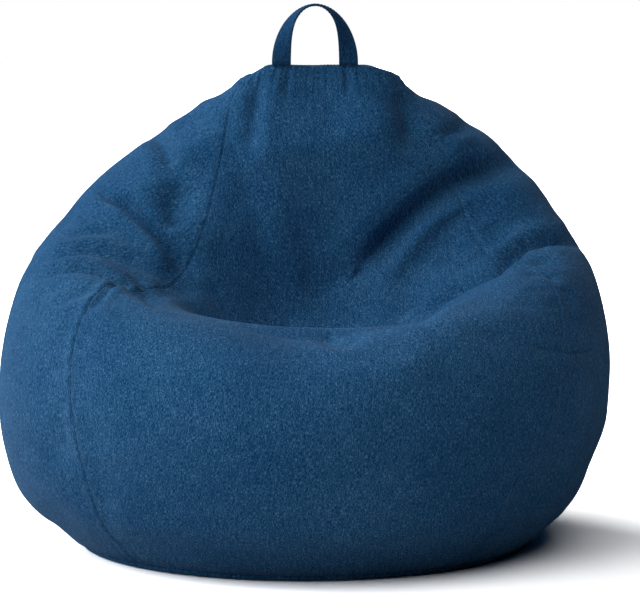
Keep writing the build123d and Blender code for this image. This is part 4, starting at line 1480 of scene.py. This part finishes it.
def woven_finish(name, stops, yarns, bump, roughness, sheen):
    """Woven cloth in some shades of one colour, on the UV map."""
    finish, tree, shader = new_finish(name)
    coordinates = tree.nodes.new("ShaderNodeTexCoord")
    weave = place_group(tree, weave_group, coordinates.outputs["UV"], Yarns_per_metre=yarns)
    dye = place_group(tree, dye_group, coordinates.outputs["Object"], Patches_per_metre=DYE_PATCHES)
    tone = combine(tree, "MULTIPLY", combine(tree, "SUBTRACT", dye.outputs["Tone"], 0.5), DYE_CONTRAST)
    fibre = combine(tree, "ADD", weave.outputs["Fibre"], tone)
    tree.links.new(colour_steps(tree, fibre, stops), shader.inputs["Base Color"])
    gloss = combine(tree, "MULTIPLY", weave.outputs["Fibre"], -FIBRE_GLOSS)
    dull = combine(tree, "ADD", gloss, roughness + FIBRE_GLOSS / 2)
    tree.links.new(dull, shader.inputs["Roughness"])
    relief = add_node(tree, "ShaderNodeBump", Strength=bump, Distance=YARN_RELIEF)
    tree.links.new(weave.outputs["Height"], relief.inputs["Height"])
    tree.links.new(relief.outputs["Normal"], shader.inputs["Normal"])
    shader.inputs["Specular IOR Level"].default_value = 0.0
    shader.inputs["Sheen Weight"].default_value = sheen
    shader.inputs["Sheen Roughness"].default_value = SHEEN_ROUGHNESS
    shader.inputs["Sheen Tint"].default_value = SHEEN_TINT
    return finish


# %% [markdown]
# The cover, strap and zip tape are three navy cloths, and the liner, its zip tape and the label are
# white ones. Only their shades, yarns and sheen differ.

# %% Cloths
# stops of place and colour
NAVY_HEATHER = (
    (0.38, (0.0020, 0.026, 0.082)),
    (0.47, (0.0095, 0.058, 0.148)),
    (0.54, (0.0240, 0.098, 0.216)),
    (0.63, (0.0820, 0.204, 0.350)),
)
NAVY_STRAP = (0.37, (0.0040, 0.022, 0.066)), (0.50, (0.0105, 0.050, 0.126)), (0.63, (0.0320, 0.100, 0.205))
NAVY_TAPE = (0.36, (0.004, 0.014, 0.038)), (0.50, (0.008, 0.030, 0.075)), (0.64, (0.016, 0.050, 0.110))
WHITE_CLOTH = (0.36, (0.66, 0.66, 0.64)), (0.50, (0.76, 0.76, 0.74)), (0.64, (0.84, 0.84, 0.82))
WHITE_TAPE = (0.36, (0.62, 0.62, 0.60)), (0.50, (0.72, 0.72, 0.70)), (0.64, (0.80, 0.80, 0.78))
WHITE_SATIN = (0.36, (0.74, 0.74, 0.73)), (0.50, (0.80, 0.80, 0.79)), (0.64, (0.85, 0.85, 0.84))
# name, stops, yarns per metre, bump, roughness, sheen
CLOTHS = {
    "cover_cloth": ("heathered blue cloth", NAVY_HEATHER, 880.0, 0.55, 0.92, 0.07),
    "handle_cloth": ("navy strap cloth", NAVY_STRAP, 880.0, 0.5, 0.9, 0.03),
    "zip_tape": ("navy zip tape", NAVY_TAPE, 1100.0, 0.4, 0.85, 0.05),
    "liner_cloth": ("white liner cloth", WHITE_CLOTH, 900.0, 0.3, 0.9, 0.05),
    "liner_zip_tape": ("white zip tape", WHITE_TAPE, 1100.0, 0.4, 0.85, 0.05),
    "label_cloth": ("white satin", WHITE_SATIN, 2400.0, 0.15, 0.5, 0.1),
}
finishes = {slot: woven_finish(*values) for slot, values in CLOTHS.items()}
print(len(finishes), "cloth finishes made")

# %% [markdown]
# Thread, nylon coil and metal read Object coordinates, because their grain needs no direction.

# %% Thread, coil and metal
GRAIN_GLOSS, GRAIN_RELIEF = 0.2, 0.0002


def grained_finish(name, dark, pale, grains, roughness, metallic, bump, shine):
    """Plain stuff with a fine grain in its colour, gloss and relief."""
    finish, tree, shader = new_finish(name)
    coordinates = tree.nodes.new("ShaderNodeTexCoord")
    grain = place_group(tree, grain_group, coordinates.outputs["Object"], Grains_per_metre=grains)
    colour = colour_steps(tree, grain.outputs["Grain"], ((0.35, dark), (0.65, pale)))
    tree.links.new(colour, shader.inputs["Base Color"])
    gloss = combine(tree, "MULTIPLY", grain.outputs["Grain"], GRAIN_GLOSS)
    gloss = combine(tree, "ADD", gloss, roughness - GRAIN_GLOSS / 2)
    tree.links.new(gloss, shader.inputs["Roughness"])
    relief = add_node(tree, "ShaderNodeBump", Strength=bump, Distance=GRAIN_RELIEF)
    tree.links.new(grain.outputs["Grain"], relief.inputs["Height"])
    tree.links.new(relief.outputs["Normal"], shader.inputs["Normal"])
    shader.inputs["Metallic"].default_value = metallic
    shader.inputs["Specular IOR Level"].default_value = shine
    return finish


# name, dark and pale colour, grains per metre, roughness, metallic, bump, shine
GRAINED = {
    "seam_thread": (
        "navy thread", (0.016, 0.068, 0.165), (0.048, 0.138, 0.270), 2600.0, 0.75, 0.0, 0.5, 0.05,
    ),
    "zip_coil": (
        "navy nylon coil", (0.006, 0.022, 0.055), (0.012, 0.040, 0.090), 1800.0, 0.35, 0.0, 0.2, 0.5,
    ),
    "liner_zip_coil": (
        "white nylon coil", (0.66, 0.66, 0.64), (0.78, 0.78, 0.76), 1800.0, 0.35, 0.0, 0.2, 0.5,
    ),
    "slider_metal": (
        "painted zip metal", (0.010, 0.030, 0.070), (0.022, 0.055, 0.110), 900.0, 0.32, 0.4, 0.15, 0.5,
    ),
    "liner_slider_metal": (
        "nickel", (0.52, 0.51, 0.49), (0.66, 0.65, 0.63), 900.0, 0.28, 1.0, 0.15, 0.5,
    ),
}
finishes |= {slot: grained_finish(*values) for slot, values in GRAINED.items()}
print(len(GRAINED), "grained finishes made")

# %% [markdown]
# The beads show as round cells with painted shade in the gaps, made by a cell pattern without modelling a
# ball.
# Then every piece gets the finish of its slot, and so do the rigid zip parts that come from the CAD.

# %% Beads, and a finish for every piece
BEADS_PER_METRE, BEAD_BUMP, BEAD_RELIEF = 230.0, 0.9, 0.002


def bead_finish():
    """Foam balls: round pale cells, with painted shade darkening the gaps between them."""
    finish, tree, shader = new_finish("white foam beads")
    coordinates = tree.nodes.new("ShaderNodeTexCoord")
    cells = add_node(tree, "ShaderNodeTexVoronoi", Scale=BEADS_PER_METRE)
    tree.links.new(coordinates.outputs["Object"], cells.inputs["Vector"])
    # pale bead colour in the cells' middles, and painted shade towards their edges where the balls meet
    pale_beads_and_gap_shade = (0.35, (0.86, 0.86, 0.85)), (0.75, (0.42, 0.42, 0.41))
    colour = colour_steps(tree, cells.outputs["Distance"], pale_beads_and_gap_shade)
    tree.links.new(colour, shader.inputs["Base Color"])
    relief = add_node(tree, "ShaderNodeBump", Strength=BEAD_BUMP, Distance=BEAD_RELIEF)
    relief.invert = True
    tree.links.new(cells.outputs["Distance"], relief.inputs["Height"])
    tree.links.new(relief.outputs["Normal"], shader.inputs["Normal"])
    shader.inputs["Roughness"].default_value = 0.7
    return finish


def give_finish(piece, finish):
    """Takes a piece's finishes off and gives it one."""
    piece.data.materials.clear()
    piece.data.materials.append(finish)


finishes["bead_fill"] = bead_finish()
for piece in made.values():
    give_finish(piece, finishes[piece["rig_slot"]])
for node_name in ("cover_zip_end_stops", "cover_zip_slider", "cover_zip_pull"):
    give_finish(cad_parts[node_name], finishes["slider_metal"])
for node_name in ("liner_zip_end_stops", "liner_zip_slider"):
    give_finish(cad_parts[node_name], finishes["liner_slider_metal"])
print(len(made), "pieces have their finish")

# %% [markdown]
# ## Floor and light
# The photograph is a catalogue shot on white. A large soft light stands on the left, a little behind
# the bag, a weaker one in front of it on the left, and a faint one high up in front; no light comes
# from elsewhere, so the right side and the hollow fall into deep blue. The floor is white where the
# camera sees it, and plain pale grey for the light that it sends back up.

# %% Floor
FLOOR_SIZE, FLOOR_DROP, FLOOR_LIT, FLOOR_SEEN = 60, 0.0005, 0.60, 2.6
scene = bpy.context.scene
scene.view_settings.view_transform = "Standard"
bpy.ops.object.select_all(action="DESELECT")
bpy.ops.mesh.primitive_plane_add(size=FLOOR_SIZE, location=(0, FLOOR_SIZE / 3, -FLOOR_DROP))
floor = bpy.context.object
floor.name = "floor"
floor_finish, tree, shader = new_finish("white floor")
shader.inputs["Roughness"].default_value = 0.9
shader.inputs["Specular IOR Level"].default_value = 0.0


def seen_directly(tree):
    """1 for what the camera sees, also in mirrors and through glass, and 0 for light on its way."""
    path = tree.nodes.new("ShaderNodeLightPath")
    seen = combine(tree, "MAXIMUM", path.outputs["Is Camera Ray"], path.outputs["Is Glossy Ray"])
    return combine(tree, "MAXIMUM", seen, path.outputs["Is Transmission Ray"])


floor_colour = tree.nodes.new("ShaderNodeMix")
floor_colour.data_type = "RGBA"
floor_colour.inputs["A"].default_value = (FLOOR_LIT, FLOOR_LIT, FLOOR_LIT, 1)
floor_colour.inputs["B"].default_value = (FLOOR_SEEN, FLOOR_SEEN, FLOOR_SEEN, 1)
tree.links.new(seen_directly(tree), floor_colour.inputs["Factor"])
tree.links.new(floor_colour.outputs["Result"], shader.inputs["Base Color"])
floor.data.materials.append(floor_finish)
print("floor", FLOOR_SIZE, "m wide")

# %% Room and lamps
# name, azimuth and elevation in degrees, strength
LAMPS = (
    ("back_softbox", -116, 36, 3.3),
    ("front_softbox", -62, 28, 1.4),
    ("top_softbox", -10, 62, 0.9),
)
LAMP_SOFTNESS = 60
room = bpy.data.worlds.new("white room")
scene.world = room
room.use_nodes = True
tree = room.node_tree
background = tree.nodes["Background"]
background.inputs["Color"].default_value = (1, 1, 1, 1)
tree.links.new(seen_directly(tree), background.inputs["Strength"])


def add_lamp(name, azimuth, elevation, energy):
    """A far, soft lamp; azimuth 0 stands in front of the bag, and negative is to the left."""
    turn, climb = math.radians(azimuth), math.radians(elevation)
    shine = (-math.sin(turn) * math.cos(climb), math.cos(turn) * math.cos(climb), -math.sin(climb))
    bpy.ops.object.select_all(action="DESELECT")
    bpy.ops.object.light_add(type="SUN", rotation=Vector(shine).to_track_quat("-Z", "Y").to_euler())
    lamp = bpy.context.object
    lamp.name = name
    lamp.data.energy = energy
    lamp.data.angle = math.radians(LAMP_SOFTNESS)
    print(name, energy)


for lamp_values in LAMPS:
    add_lamp(*lamp_values)
